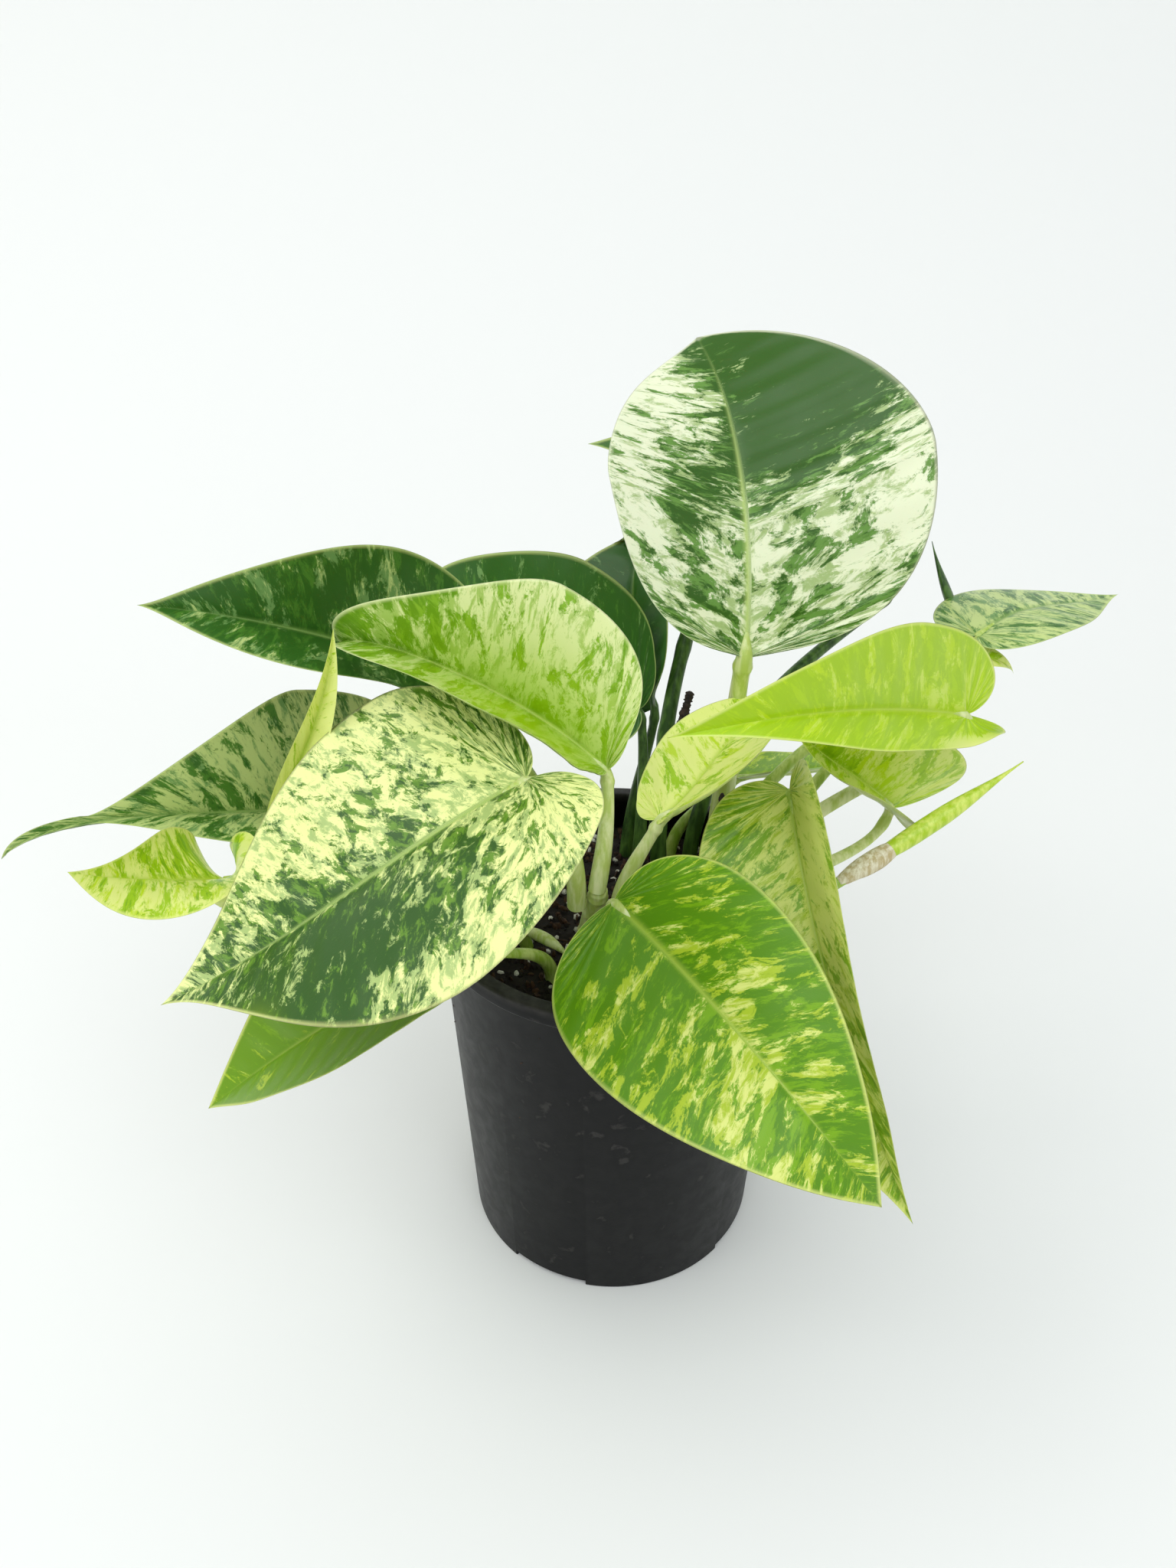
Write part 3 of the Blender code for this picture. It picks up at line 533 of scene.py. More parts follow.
# %% Leaf material
def leaf_material(name, dark, middle, sage, cream, rib_colour, under_colour, gloss=0.33,
                  streak=(0.07, 0.26), crisp=0.03):
    """Marbled leaf skin from a dark, a middle, a sage and a cream tone."""
    material, tree, shader = new_material(name, IOR=1.40, Subsurface_Weight=0.05,
                                          Subsurface_Scale=0.002)
    vein = add_node(tree, "ShaderNodeAttribute", attribute_name="vein").outputs["Vector"]
    tone = add_node(tree, "ShaderNodeAttribute", attribute_name="tone").outputs["Fac"]
    lime = add_node(tree, "ShaderNodeAttribute", attribute_name="lime").outputs["Fac"]
    rib = add_node(tree, "ShaderNodeAttribute", attribute_name="rib").outputs["Fac"]
    edge = add_node(tree, "ShaderNodeAttribute", attribute_name="edge").outputs["Fac"]
    under = add_node(tree, "ShaderNodeAttribute", attribute_name="under").outputs["Fac"]

    def streaks(stretch, scale, detail, shift, low, high):
        """One cell layer: 1 where it is pale, with the vein's direction in its shapes."""
        coordinate = add_node(tree, "ShaderNodeVectorMath",
                              {0: vein, 1: (stretch[0], stretch[1], 1.0), 2: (0, 0, shift)},
                              operation="MULTIPLY_ADD").outputs[0]
        field = add_node(tree, "ShaderNodeTexNoise",
                         {"Vector": coordinate, "Scale": scale, "Detail": detail,
                          "Roughness": 0.74, "Distortion": 0.5}).outputs["Fac"]
        total = add_node(tree, "ShaderNodeMath", {0: field, 1: tone}, operation="ADD").outputs[0]
        return add_node(tree, "ShaderNodeMapRange",
                        {"Value": total, "From Min": low, "From Max": high},
                        interpolation_type="SMOOTHSTEP").outputs["Result"]

    def mixed(factor, low, high):
        """One colour where the factor is 0, the other where it is 1."""
        node = add_node(tree, "ShaderNodeMix", data_type="RGBA")
        for socket, value in (("Factor_Float", factor), ("A_Color", low), ("B_Color", high)):
            target = next(s for s in node.inputs if s.identifier == socket)
            if isinstance(value, bpy.types.NodeSocket):
                tree.links.new(value, target)
            else:
                target.default_value = value
        return next(s for s in node.outputs if s.identifier == "Result_Color")

    outer = streaks(streak, 1.0, 8, 0.0, 0.5 - crisp, 0.5 + crisp)
    inner = streaks((streak[0] * 1.6, streak[1] * 2.0), 1.0, 8, 31.0, 0.5 - 2 * crisp, 0.5 + 2 * crisp)
    green = mixed(inner, linear(dark), linear(middle))
    pale = mixed(inner, linear(sage), linear(cream))
    colour = mixed(outer, green, pale)
    yellow = mixed(lime, colour, linear("#B4D60A"))
    lined = mixed(rib, yellow, linear(rib_colour))
    border = add_node(tree, "ShaderNodeMath", {0: edge, 1: 0.75}, operation="MULTIPLY").outputs[0]
    bordered = mixed(border, lined, linear(cream))
    veiled = add_node(tree, "ShaderNodeMath", {0: under, 1: 0.7}, operation="MULTIPLY").outputs[0]
    below = mixed(veiled, bordered, linear(under_colour))
    tree.links.new(below, shader.inputs["Base Color"])
    mottle = add_node(tree, "ShaderNodeTexNoise", {"Vector": vein, "Scale": 0.09, "Detail": 3.0})
    rough = add_node(tree, "ShaderNodeMapRange",
                     {"Value": mottle.outputs["Fac"], "To Min": gloss - 0.08,
                      "To Max": gloss + 0.12}).outputs["Result"]
    tree.links.new(rough, shader.inputs["Roughness"])
    pebble = add_node(tree, "ShaderNodeTexNoise", {"Vector": vein, "Scale": 1.6, "Detail": 2.0})
    bump = add_node(tree, "ShaderNodeBump",
                    {"Height": pebble.outputs["Fac"], "Strength": 0.12, "Distance": 0.0002})
    tree.links.new(bump.outputs["Normal"], shader.inputs["Normal"])
    return material


CREAM_LEAF = leaf_material("leaf_marbled_cream", "#2F5A0C", "#64903C", "#A2BA78", "#E6EBC8",
                           "#B9CE74", "#8FA868")
# Marbling, with its sage lightened as painted sheen for the silvery lower half of the front left leaf.
BUTTER_AND_SHEEN_LEAF = leaf_material("leaf_marbled_butter_and_painted_sheen", "#2C5612", "#648F28", "#A6BE70", "#E8EE9C",
                            "#A9C468", "#8CA561", streak=(0.12, 0.30))
BUTTER_LIME_LEAF = leaf_material("leaf_marbled_lime", "#4F8A12", "#7DAE2E", "#A9C66C",
                                 "#EAF0B4", "#C2D96A", "#9DB565")
GREEN_LEAF = leaf_material("leaf_mid_green", "#578A0A", "#78A80F", "#A9C22C", "#DAE27E",
                           "#A6BF45", "#8AA544")
# A deep green that the leaves have of their own; on the back leaves it is painted shade as well.
GREEN_AND_SHADE_LEAF = leaf_material("leaf_dark_green_and_painted_shade", "#30601A", "#4B7D28", "#6C9550", "#BDCF80",
                          "#7FA04C", "#63804C")
LIME_LEAF = leaf_material("leaf_young_lime", "#7BAA05", "#9CC406", "#B8D512", "#DFE884",
                          "#B4CE3C", "#C3CF86")

LOOKS = {
    "leaf_crown": dict(paint=CREAM_LEAF, cream=0.0, ripple=0.5, zones=(
        (0.78, 0.5, 0.24, -0.20), (0.60, 0.15, 0.12, -0.10), (0.95, 0.1, 0.12, -0.10),
        (0.50, -0.35, 0.14, -0.06), (0.85, -0.6, 0.25, 0.09), (0.4, -0.9, 0.2, 0.06),
        (0.5, 0.9, 0.22, 0.10), (0.3, 0.2, 0.2, 0.03))),
    # The front left leaf's cream zones are its marbling, and on its lower half they are partly painted
    # sheen.
    "leaf_front_left": dict(paint=BUTTER_AND_SHEEN_LEAF, cream=0.0, zones=(
        (0.55, 0.6, 0.35, 0.05), (0.15, 0.6, 0.30, 0.03), (0.55, -0.4, 0.32, -0.12),
        (0.05, -0.6, 0.18, 0.07), (0.35, -1.1, 0.16, 0.10), (0.7, -1.1, 0.16, 0.10)),
        limes=((0.8, -0.55, 0.07, 0.6),)),
    "leaf_front_right": dict(paint=GREEN_LEAF, cream=-0.06, zones=(
        (0.5, -0.1, 0.22, 0.06), (0.75, 0.5, 0.2, 0.06))),
    "leaf_right_folded": dict(paint=GREEN_LEAF, cream=0.0, lime=0.1, zones=(
        (0.2, -0.4, 0.3, 0.10),)),
    "leaf_centre_left": dict(paint=BUTTER_LIME_LEAF, cream=0.01, zones=(
        (0.4, 0.6, 0.3, 0.05), (0.85, 0.5, 0.25, -0.08)), limes=((0.3, -0.4, 0.5, 0.8),)),
    "leaf_upper_left": dict(paint=GREEN_AND_SHADE_LEAF, cream=-0.05),
    "leaf_left_long": dict(paint=GREEN_AND_SHADE_LEAF, cream=0.02, zones=((0.3, 0.5, 0.3, 0.05),)),
    "leaf_left_small": dict(paint=LIME_LEAF, cream=0.03),
    "leaf_low_left": dict(paint=GREEN_LEAF, cream=-0.10, lime=0.15),
    "leaf_left_new": dict(paint=LIME_LEAF, cream=0.10, ripple=0.1),
    # The back leaves take the dark paint with less cream: painted shade, where the leaves in front shade
    # them.
    "leaf_back_left": dict(paint=GREEN_AND_SHADE_LEAF, cream=-0.10),
    "leaf_back": dict(paint=GREEN_AND_SHADE_LEAF, cream=-0.14),
    "leaf_behind_crown": dict(paint=GREEN_AND_SHADE_LEAF, cream=-0.05),
    "leaf_right_bright": dict(paint=LIME_LEAF, cream=-0.05, lime=0.6, zones=(
        (0.1, 0.2, 0.2, 0.08), (0.0, -0.9, 0.13, 0.4)), limes=((0.0, -0.9, 0.13, -0.7),)),
    "leaf_centre_young": dict(paint=LIME_LEAF, cream=0.06),
    "leaf_right_small": dict(paint=LIME_LEAF, cream=0.02, lime=0.2),
    # This back leaf's dark paint is partly painted shade.
    "leaf_right_back": dict(paint=GREEN_AND_SHADE_LEAF, cream=0.03),
    "leaf_right_low": dict(paint=LIME_LEAF, cream=-0.05),
    "leaf_right_curled": dict(paint=LIME_LEAF, cream=0.04, ripple=0.1),
}

# %% [markdown]
# ## One blade for each leaf
# Each leaf takes its sizes from the first list and its paint from the second, and its place in the
# list is the seed of its ripples, so the same leaf comes out every time.

# %% Make every blade
blades = {}
for number, (name, sizes) in enumerate(LEAVES.items()):
    surface = {key: value for key, value in sizes.items()
               if key not in ("foot", "bend", "arrive", "turn")}
    piece, blades[name] = make_blade(name.replace("leaf", "blade"), surface, LOOKS[name], number)
    finish_piece(piece, LOOKS[name]["paint"], name)
print(f"{len(blades)} blades, the longest {max(b.length for b in blades.values()) / MM:.0f} mm")

# %% [markdown]
# ## Stalks, vines and roots along a path
# Each leaf hangs on a round stalk that leaves the soil or a vine, thickens at the joint under the
# blade and runs on as the midrib. A tube along a curve is a job for Geometry Nodes: the points
# carry their own radius, and one tree skins every path. The result is kept as a plain mesh.

# %% The node tree that skins a path
TUBE_SIDES = 20


def tube_tree():
    """Geometry in, tube out: each point's attribute called thickness is the tube's radius."""
    tree = bpy.data.node_groups.new("skin_a_path", "GeometryNodeTree")
    tree.interface.new_socket("Path", in_out="INPUT", socket_type="NodeSocketGeometry")
    tree.interface.new_socket("Sides", in_out="INPUT", socket_type="NodeSocketInt")
    tree.interface.new_socket("Finish", in_out="INPUT", socket_type="NodeSocketMaterial")
    tree.interface.new_socket("Tube", in_out="OUTPUT", socket_type="NodeSocketGeometry")
    given = add_node(tree, "NodeGroupInput").outputs
    curve = add_node(tree, "GeometryNodeMeshToCurve", {"Mesh": given["Path"]})
    radius = add_node(tree, "GeometryNodeInputNamedAttribute", {"Name": "thickness"},
                      data_type="FLOAT")
    ring = add_node(tree, "GeometryNodeCurvePrimitiveCircle",
                    {"Resolution": given["Sides"], "Radius": 1.0})
    tube = add_node(tree, "GeometryNodeCurveToMesh",
                    {"Curve": curve.outputs[0], "Profile Curve": ring.outputs["Curve"],
                     "Scale": radius.outputs["Attribute"], "Fill Caps": True})
    real = add_node(tree, "GeometryNodeRealizeInstances", {"Geometry": tube.outputs["Mesh"]})
    painted = add_node(tree, "GeometryNodeSetMaterial",
                       {"Geometry": real.outputs[0], "Material": given["Finish"]})
    add_node(tree, "NodeGroupOutput", {"Tube": painted.outputs[0]})
    return tree


def apply_tree(obj, tree, inputs):
    """Runs a tree on an object with these named inputs and keeps the result as a plain mesh."""
    modifier = obj.modifiers.new(tree.name, "NODES")
    modifier.node_group = tree
    for socket in tree.interface.items_tree:
        if socket.in_out == "INPUT" and socket.name in inputs:
            modifier[socket.identifier] = inputs[socket.name]
    graph = bpy.context.evaluated_depsgraph_get()
    made = bpy.data.meshes.new_from_object(obj.evaluated_get(graph))
    obj.modifiers.remove(modifier)
    obj.data = made
    return obj


PATH_TREE = tube_tree()


def tube(name, path, radii, material, sides=TUBE_SIDES):
    """A closed tube through the path's points, in metres, with a radius for each point."""
    mesh = bpy.data.meshes.new(name)
    mesh.from_pydata([tuple(p) for p in path], [(i, i + 1) for i in range(len(path) - 1)], [])
    mesh.attributes.new("thickness", "FLOAT", "POINT").data.foreach_set("value", list(radii))
    obj = bpy.data.objects.new(name, mesh)
    scene.collection.objects.link(obj)
    apply_tree(obj, PATH_TREE, {"Sides": sides, "Finish": material})
    face_outward(obj)
    obj.data.shade_smooth()
    return obj


# %% [markdown]
# ## Stalk skin, sheath and root
# Stalks are smooth and waxy, pale green with whiter streaks that run their length, because the
# marbling goes on down the stem. Old sheaths are dry brown paper, and roots are dark and corky.


# %% Stalk, sheath and root materials
def streaky_material(name, base, streak_colour, roughness, pitch_mm, bump_mm, **values):
    """A material with streaks along Z, pitch_mm apart across the piece."""
    material, tree, shader = new_material(name, **values)
    place = add_node(tree, "ShaderNodeTexCoord").outputs["Object"]
    stretched = add_node(tree, "ShaderNodeVectorMath",
                         {0: place, 1: (1 / (pitch_mm * MM), 1 / (pitch_mm * MM),
                                        0.12 / (pitch_mm * MM))}, operation="MULTIPLY")
    field = add_node(tree, "ShaderNodeTexNoise",
                     {"Vector": stretched.outputs[0], "Scale": 0.6, "Detail": 5.0,
                      "Roughness": 0.6}).outputs["Fac"]
    ramp = add_node(tree, "ShaderNodeValToRGB", {"Fac": field})
    ramp.color_ramp.elements[0].position = 0.40
    ramp.color_ramp.elements[0].color = linear(base)
    ramp.color_ramp.elements[1].position = 0.62
    ramp.color_ramp.elements[1].color = linear(streak_colour)
    tree.links.new(ramp.outputs["Color"], shader.inputs["Base Color"])
    rough = add_node(tree, "ShaderNodeMapRange", {"Value": field, "To Min": roughness - 0.06,
                                                  "To Max": roughness + 0.1}).outputs["Result"]
    tree.links.new(rough, shader.inputs["Roughness"])
    bump = add_node(tree, "ShaderNodeBump", {"Height": field, "Strength": 0.4,
                                             "Distance": bump_mm * MM})
    tree.links.new(bump.outputs["Normal"], shader.inputs["Normal"])
    return material


STALK_SKIN = streaky_material("stalk_waxy_green", "#94B33A", "#C6D77C", 0.34, 1.4, 0.05,
                              IOR=1.45, Subsurface_Weight=0.1, Subsurface_Scale=0.003)
PALE_SKIN = streaky_material("stalk_waxy_pale", "#B4C765", "#DDE3A8", 0.34, 1.6, 0.05,
                             IOR=1.45, Subsurface_Weight=0.12, Subsurface_Scale=0.003)
# Near-black green skin: painted shade for the stalks, the vine and the rolled leaf at the back.
SHADED_STALK_SKIN = streaky_material("stalk_waxy_painted_shade", "#2C4A1C", "#577A35", 0.36, 1.4, 0.05, IOR=1.45)
SPEAR_SKIN = streaky_material("rolled_leaf_lime", "#A8C81E", "#D3E269", 0.34, 1.2, 0.05,
                              IOR=1.45, Subsurface_Weight=0.1, Subsurface_Scale=0.002)
SHEATH_SKIN = streaky_material("sheath_dry_paper", "#B9A878", "#E4DEC4", 0.7, 0.8, 0.1, IOR=1.5)
ROOT_SKIN = streaky_material("root_cork", "#17100B", "#3B2A1C", 0.75, 0.7, 0.15, IOR=1.5)

# %% [markdown]
# ## A stalk for every leaf
# The stalk's foot goes three millimetres into the soil, or into the vine it branches from, and its
# top slips under the blade's base and fades into the rib.

# %% Make the stalks
STALK_FOOT = 2.0
STALK_TOP = 1.35
JOINT_SWELL = 0.22
STALK_TURN = 7.0
ROOTING = 3.0
STALK_STEPS = 44
# The back stalks take the near-black skin, which is painted shade.
STALK_LOOKS = {
    "leaf_crown": (1.75, PALE_SKIN), "leaf_front_left": (1.35, PALE_SKIN),
    "leaf_centre_left": (1.25, PALE_SKIN), "leaf_centre_young": (1.2, PALE_SKIN),
    "leaf_front_right": (1.3, PALE_SKIN), "leaf_right_folded": (1.2, STALK_SKIN),
    "leaf_right_small": (1.1, PALE_SKIN), "leaf_right_bright": (1.2, PALE_SKIN),
    "leaf_behind_crown": (1.2, SHADED_STALK_SKIN), "leaf_back_left": (1.0, SHADED_STALK_SKIN),
    "leaf_back": (1.0, SHADED_STALK_SKIN),
}


def on_soil(spot):
    """A foot with no height gets one on the soil; any other place is read as it is."""
    return place_in_plant((*spot, (SOIL_TOP - RIM_HEIGHT) / MM)) if len(spot) == 2 else (
        place_in_plant(spot))


for name, sizes in LEAVES.items():
    blade = blades[name]
    thickness, skin = STALK_LOOKS.get(name, (1.0, STALK_SKIN))
    spot, forward, up, _ = (part[0] for part in blade.frame(np.array([0.0])))
    arrive = unit(sizes["arrive"])
    foot, bend = on_soil(sizes["foot"]), place_in_plant(sizes["bend"])
    end = spot - arrive * 1.6 * MM - up * 0.5 * MM
    turn = sizes.get("turn", STALK_TURN) * MM
    share = np.linspace(0, 1, STALK_STEPS)
    path = bezier((foot, bend, end - arrive * turn, end), share)
    radii = STALK_FOOT + (STALK_TOP - STALK_FOOT) * blend(0, 0.9, share)
    radii = radii * (1 + JOINT_SWELL * np.exp(-(((share - 0.93) / 0.05) ** 2))) * thickness
    down = unit(foot - bend)
    tail = [spot + forward * run * MM - up * (0.62 + 0.05 * run) * MM for run in (0.8, 2.5, 4.5, 7)]
    path = np.vstack([[foot + down * ROOTING * MM], path, tail])
    radii = np.concatenate([[radii[0]], radii, np.array((0.92, 0.78, 0.6, 0.35)) * radii[-1]])
    stalk = tube(name.replace("leaf", "petiole"), path, radii * MM, skin)
    finish_piece(stalk, skin, name.replace("leaf", "stalk"))
print(f"{len(LEAVES)} stalks, {STALK_FOOT * 2:.1f} mm thick at the foot")

# %% [markdown]
# ## Vines, roots and rolled young leaves
# Two short vines carry some of the leaf stalks, and their nodes show as rings. A young leaf comes
# rolled up like an umbrella, so its section is a spiral with a step where the margin laps.

# %% Vines, roots and shoots
RINGS = 3
VINE_STEPS = 48


def ringed(count, low, high):
    """Radii of a vine that swells at this many nodes."""
    share = np.linspace(0, 1, VINE_STEPS)
    swell = 0.14 * np.exp(-((((share * count) % 1 - 0.5) / 0.10) ** 2))
    return share, (low + (high - low) * share) * (1 + swell) * MM


BARS = {
    "vine_front": (((-8, -12), (-8, -13, 0.6), (-5, -16, 8.6), (-5, -19, 15.6)), (3.0, 2.6),
                   PALE_SKIN, "stalks"),
    # The back vine's near-black skin is painted shade.
    "vine_back": (((14, 22), (12, 27, 21.6), (16, 37, 46.6), (24, 49, 68.6)), (2.6, 2.0),
                  SHADED_STALK_SKIN, "stalks"),
    "root_centre": (((24, 5), (27, 8, 4.6), (31, 12, 14.6), (31, 13, 25.6)), (0.7, 0.9),
                    ROOT_SKIN, "roots"),
    "root_back": (((18, 29, 34.6), (20, 30, 39.6), (21, 31, 44.6), (22, 32, 48.6)), (1.2, 1.2),
                  ROOT_SKIN, "roots"),
}
for name, (corners, (low, high), skin, slot_name) in BARS.items():
    places = [on_soil(corner) for corner in corners]
    share, radii = ringed(RINGS, low, high)
    path = bezier(places, share)
    if slot_name == "roots":
        rng = np.random.default_rng(len(name))
        radii = radii * rng.uniform(0.75, 1.2, len(radii))
    ends = np.array((0.5, 0.85))
    radii[-2:] *= ends[::-1]
    piece = tube(name.replace("vine", "stem").replace("root", "air_root"), path, radii, skin)
    finish_piece(piece, skin, name)


def rolled_leaf(name, places, widest, turns, skin, node, flat=1.0):
    """A young leaf still rolled up: a spiral section that tapers to a point along its path."""
    share = np.linspace(0, 1, 60)
    path = bezier(places, share)
    ahead = unit(np.gradient(path, axis=0))
    across = unit(np.cross(ahead, (0.2, 0.1, 1.0)))
    over = np.cross(ahead, across)
    girth = widest * blend(-0.35, 0.35, share) * (1 - blend(0.45, 1.02, share) * 0.93)
    rings, steps = [], 28
    for i in range(len(share)):
        ring = []
        for step in range(steps):
            turn = 2 * math.pi * step / steps
            lap = 1 + 0.22 * (step / steps) - 0.11
            radius = girth[i] * lap * MM
            twist = turn + turns * share[i] * 2 * math.pi
            ring.append(path[i] + across[i] * radius * math.cos(twist)
                        + over[i] * radius * flat * math.sin(twist))
        rings.append(ring)
    points = [p for ring in rings for p in ring]
    faces = [(i * steps + s, i * steps + (s + 1) % steps, (i + 1) * steps + (s + 1) % steps,
              (i + 1) * steps + s) for i in range(len(rings) - 1) for s in range(steps)]
    faces += [tuple(range(steps))[::-1], tuple(range((len(rings) - 1) * steps, len(points)))]
    obj = mesh_object(name, points, faces)
    face_outward(obj)
    finish_piece(obj, skin, node)


SPEAR = (on_soil((45, -3)), place_in_plant((34, -38, 13)), place_in_plant((92, 3, 23)),
         place_in_plant((114, 7, 40.5)))
EDGE = [place_in_plant(p) for p in ((108, 57, 50.6), (103, 60, 60.6), (98, 63, 70.6),
                                    (95, 66, 80.6))]
BUD = [place_in_plant(p) for p in ((-27, -14, -3.4), (-22, -16, -2.0), (-16, -20, -3.4),
                                   (-12, -25, -5.4))]
lower = np.linspace(0, 0.62, 30)
stem = tube("spear_stalk", bezier(SPEAR, lower), (1.3 + 0.6 * lower) * MM, STALK_SKIN)
finish_piece(stem, STALK_SKIN, None)
rolled_leaf("spear", bezier(SPEAR, np.array((0.50, 0.67, 0.84, 1.0))), 2.6, 0.6, SPEAR_SKIN,
            "leaf_spear")
rolled_leaf("dry_sheath", bezier(SPEAR, np.array((0.44, 0.52, 0.60, 0.68))), 2.9, 0.3,
            SHEATH_SKIN, None)
# The rolled leaf at the back takes the near-black skin, which is painted shade.
rolled_leaf("rolled_edge", EDGE, 2.8, 0.3, SHADED_STALK_SKIN, "leaf_right_edge", flat=0.55)
rolled_leaf("bud", BUD, 1.7, 0.5, PALE_SKIN, "shoot_low")
print("vines, roots and rolled leaves are made")

# %% [markdown]
# ## The nursery pot
# The pot is injection moulded polypropylene: a tapered wall, a rolled rim band with an undercut,
# and four drainage channels with holes in the floor. A round piece is drawn once in profile and
# turned round its axis; fillets along the rim are what catches the light.

# %% Turn the pot and cut its drainage
POT_STEPS = 192
WALL_TOP = RIM_RADIUS - 2.8 * MM
WALL_FOOT = WALL_TOP - 5.9 * MM
WALL = 1.4 * MM
BAND_LOW = RIM_HEIGHT - 5.2 * MM
UNDERCUT = BAND_LOW - 1.9 * MM
FLOOR = 4.5 * MM
DRAIN_TURNS = (-27, 63, 153, 243)
CHANNEL_START = 14 * MM
CHANNEL_HALF_ANGLE = 16
CHANNEL_DEPTH = 2.5 * MM
DRAIN_RADIUS = 3.5 * MM
DRAIN_FROM_AXIS = 30 * MM
SOIL_GAP = 0.5 * MM


def fillet(corner, before, after, radius, steps=5):
    """Points that round a corner of a profile."""
    corner, before, after = (np.array(p, float) for p in (corner, before, after))
    start = corner + unit(before - corner) * radius
    end = corner + unit(after - corner) * radius
    t = np.linspace(0, 1, steps)[:, None]
    return list(start * (1 - t) ** 2 + 2 * corner * t * (1 - t) + end * t**2)


def turned(name, profile, steps, radii):
    """A closed solid turned from (radius, height) corners, each rounded by its own radius."""
    outline = [np.array(profile[0], float)]
    for i in range(1, len(profile) - 1):
        if radii[i]:
            outline += fillet(profile[i], profile[i - 1], profile[i + 1], radii[i] * MM)
        else:
            outline.append(np.array(profile[i], float))
    outline.append(np.array(profile[-1], float))
    form = bmesh.new()
    rings = []
    for radius, height in outline:
        if radius < 1e-9:
            rings.append([form.verts.new((0, 0, height))] * steps)
            continue
        angles = [2 * math.pi * step / steps for step in range(steps)]
        rings.append([form.verts.new((radius * math.cos(a), radius * math.sin(a), height))
                      for a in angles])
    for lower, upper in zip(rings, rings[1:]):
        for step in range(steps):
            after = (step + 1) % steps
            corners = [lower[step], lower[after], upper[after], upper[step]]
            form.faces.new(list(dict.fromkeys(corners)))
    bmesh.ops.recalc_face_normals(form, faces=form.faces)
    mesh = bpy.data.meshes.new(name)
    form.to_mesh(mesh)
    form.free()
    mesh.shade_smooth()
    obj = bpy.data.objects.new(name, mesh)
    scene.collection.objects.link(obj)
    return obj


share_at_floor = FLOOR / UNDERCUT
inner_foot = WALL_FOOT + (WALL_TOP - WALL_FOOT) * share_at_floor - WALL
pot_profile = [(0, 0), (WALL_FOOT, 0), (WALL_TOP, UNDERCUT), (RIM_RADIUS, BAND_LOW),
               (RIM_RADIUS, RIM_HEIGHT), (WALL_TOP - WALL, RIM_HEIGHT), (WALL_TOP - WALL, UNDERCUT),
               (inner_foot, FLOOR), (0, FLOOR)]
pot = turned("nursery_pot", pot_profile, POT_STEPS, (0, 0.9, 1.2, 0.7, 1.1, 0.7, 1.0, 1.5, 0))

cutters = bmesh.new()
for turn in DRAIN_TURNS:
    middle, half = math.radians(turn - 90), math.radians(CHANNEL_HALF_ANGLE)
    past_wall = 1.2 * WALL_FOOT
    corners = [(r * math.cos(middle + s * half), r * math.sin(middle + s * half))
               for r, s in ((CHANNEL_START, -1), (past_wall, -1), (past_wall, 1), (CHANNEL_START, 1))]
    low = [cutters.verts.new((x, y, -CHANNEL_DEPTH)) for x, y in corners]
    high = [cutters.verts.new((x, y, CHANNEL_DEPTH)) for x, y in corners]
    cutters.faces.new(low[::-1])
    cutters.faces.new(high)
    for i in range(4):
        cutters.faces.new((low[i], low[(i + 1) % 4], high[(i + 1) % 4], high[i]))
bmesh.ops.recalc_face_normals(cutters, faces=cutters.faces)
holes = bmesh.new()
for turn in DRAIN_TURNS:
    middle = math.radians(turn - 90)
    ring = bmesh.ops.create_cone(holes, cap_ends=True, segments=32, radius1=DRAIN_RADIUS,
                                 radius2=DRAIN_RADIUS, depth=12 * MM)["verts"]
    bmesh.ops.translate(holes, verts=ring, vec=(DRAIN_FROM_AXIS * math.cos(middle),
                                                DRAIN_FROM_AXIS * math.sin(middle), 3 * MM))
for label, form in (("channels", cutters), ("drains", holes)):
    mesh = bpy.data.meshes.new(label)
    form.to_mesh(mesh)
    form.free()
    cutter = bpy.data.objects.new(label, mesh)
    scene.collection.objects.link(cutter)
    modifier = pot.modifiers.new(label, "BOOLEAN")
    modifier.operation, modifier.solver, modifier.object = "DIFFERENCE", "EXACT", cutter
    graph = bpy.context.evaluated_depsgraph_get()
    made = bpy.data.meshes.new_from_object(pot.evaluated_get(graph))
    pot.modifiers.remove(modifier)
    pot.data = made
    bpy.data.objects.remove(cutter)
pot.data.set_sharp_from_angle(angle=math.radians(35))

# %% [markdown]
# ## Charcoal polypropylene with water marks
# The plastic is dyed through, so its colour is even, nearly black and a little glossy. Handling
# gives the life: dried water spots and patches of duller surface. The rim's top 3 mm is lighter grey in
# specks.

# %% Pot material
POT_SKIN, tree, shader = new_material("polypropylene_charcoal", IOR=1.26)
place = add_node(tree, "ShaderNodeTexCoord").outputs["Object"]
height = add_node(tree, "ShaderNodeSeparateXYZ", {0: place}).outputs["Z"]
spots = add_node(tree, "ShaderNodeTexNoise", {"Vector": place, "Scale": 170.0, "Detail": 4.0,
                                              "Roughness": 0.6, "Distortion": 0.4})
spotted = add_node(tree, "ShaderNodeMapRange", {"Value": spots.outputs["Fac"], "From Min": 0.62,
                                                "From Max": 0.70}).outputs["Result"]
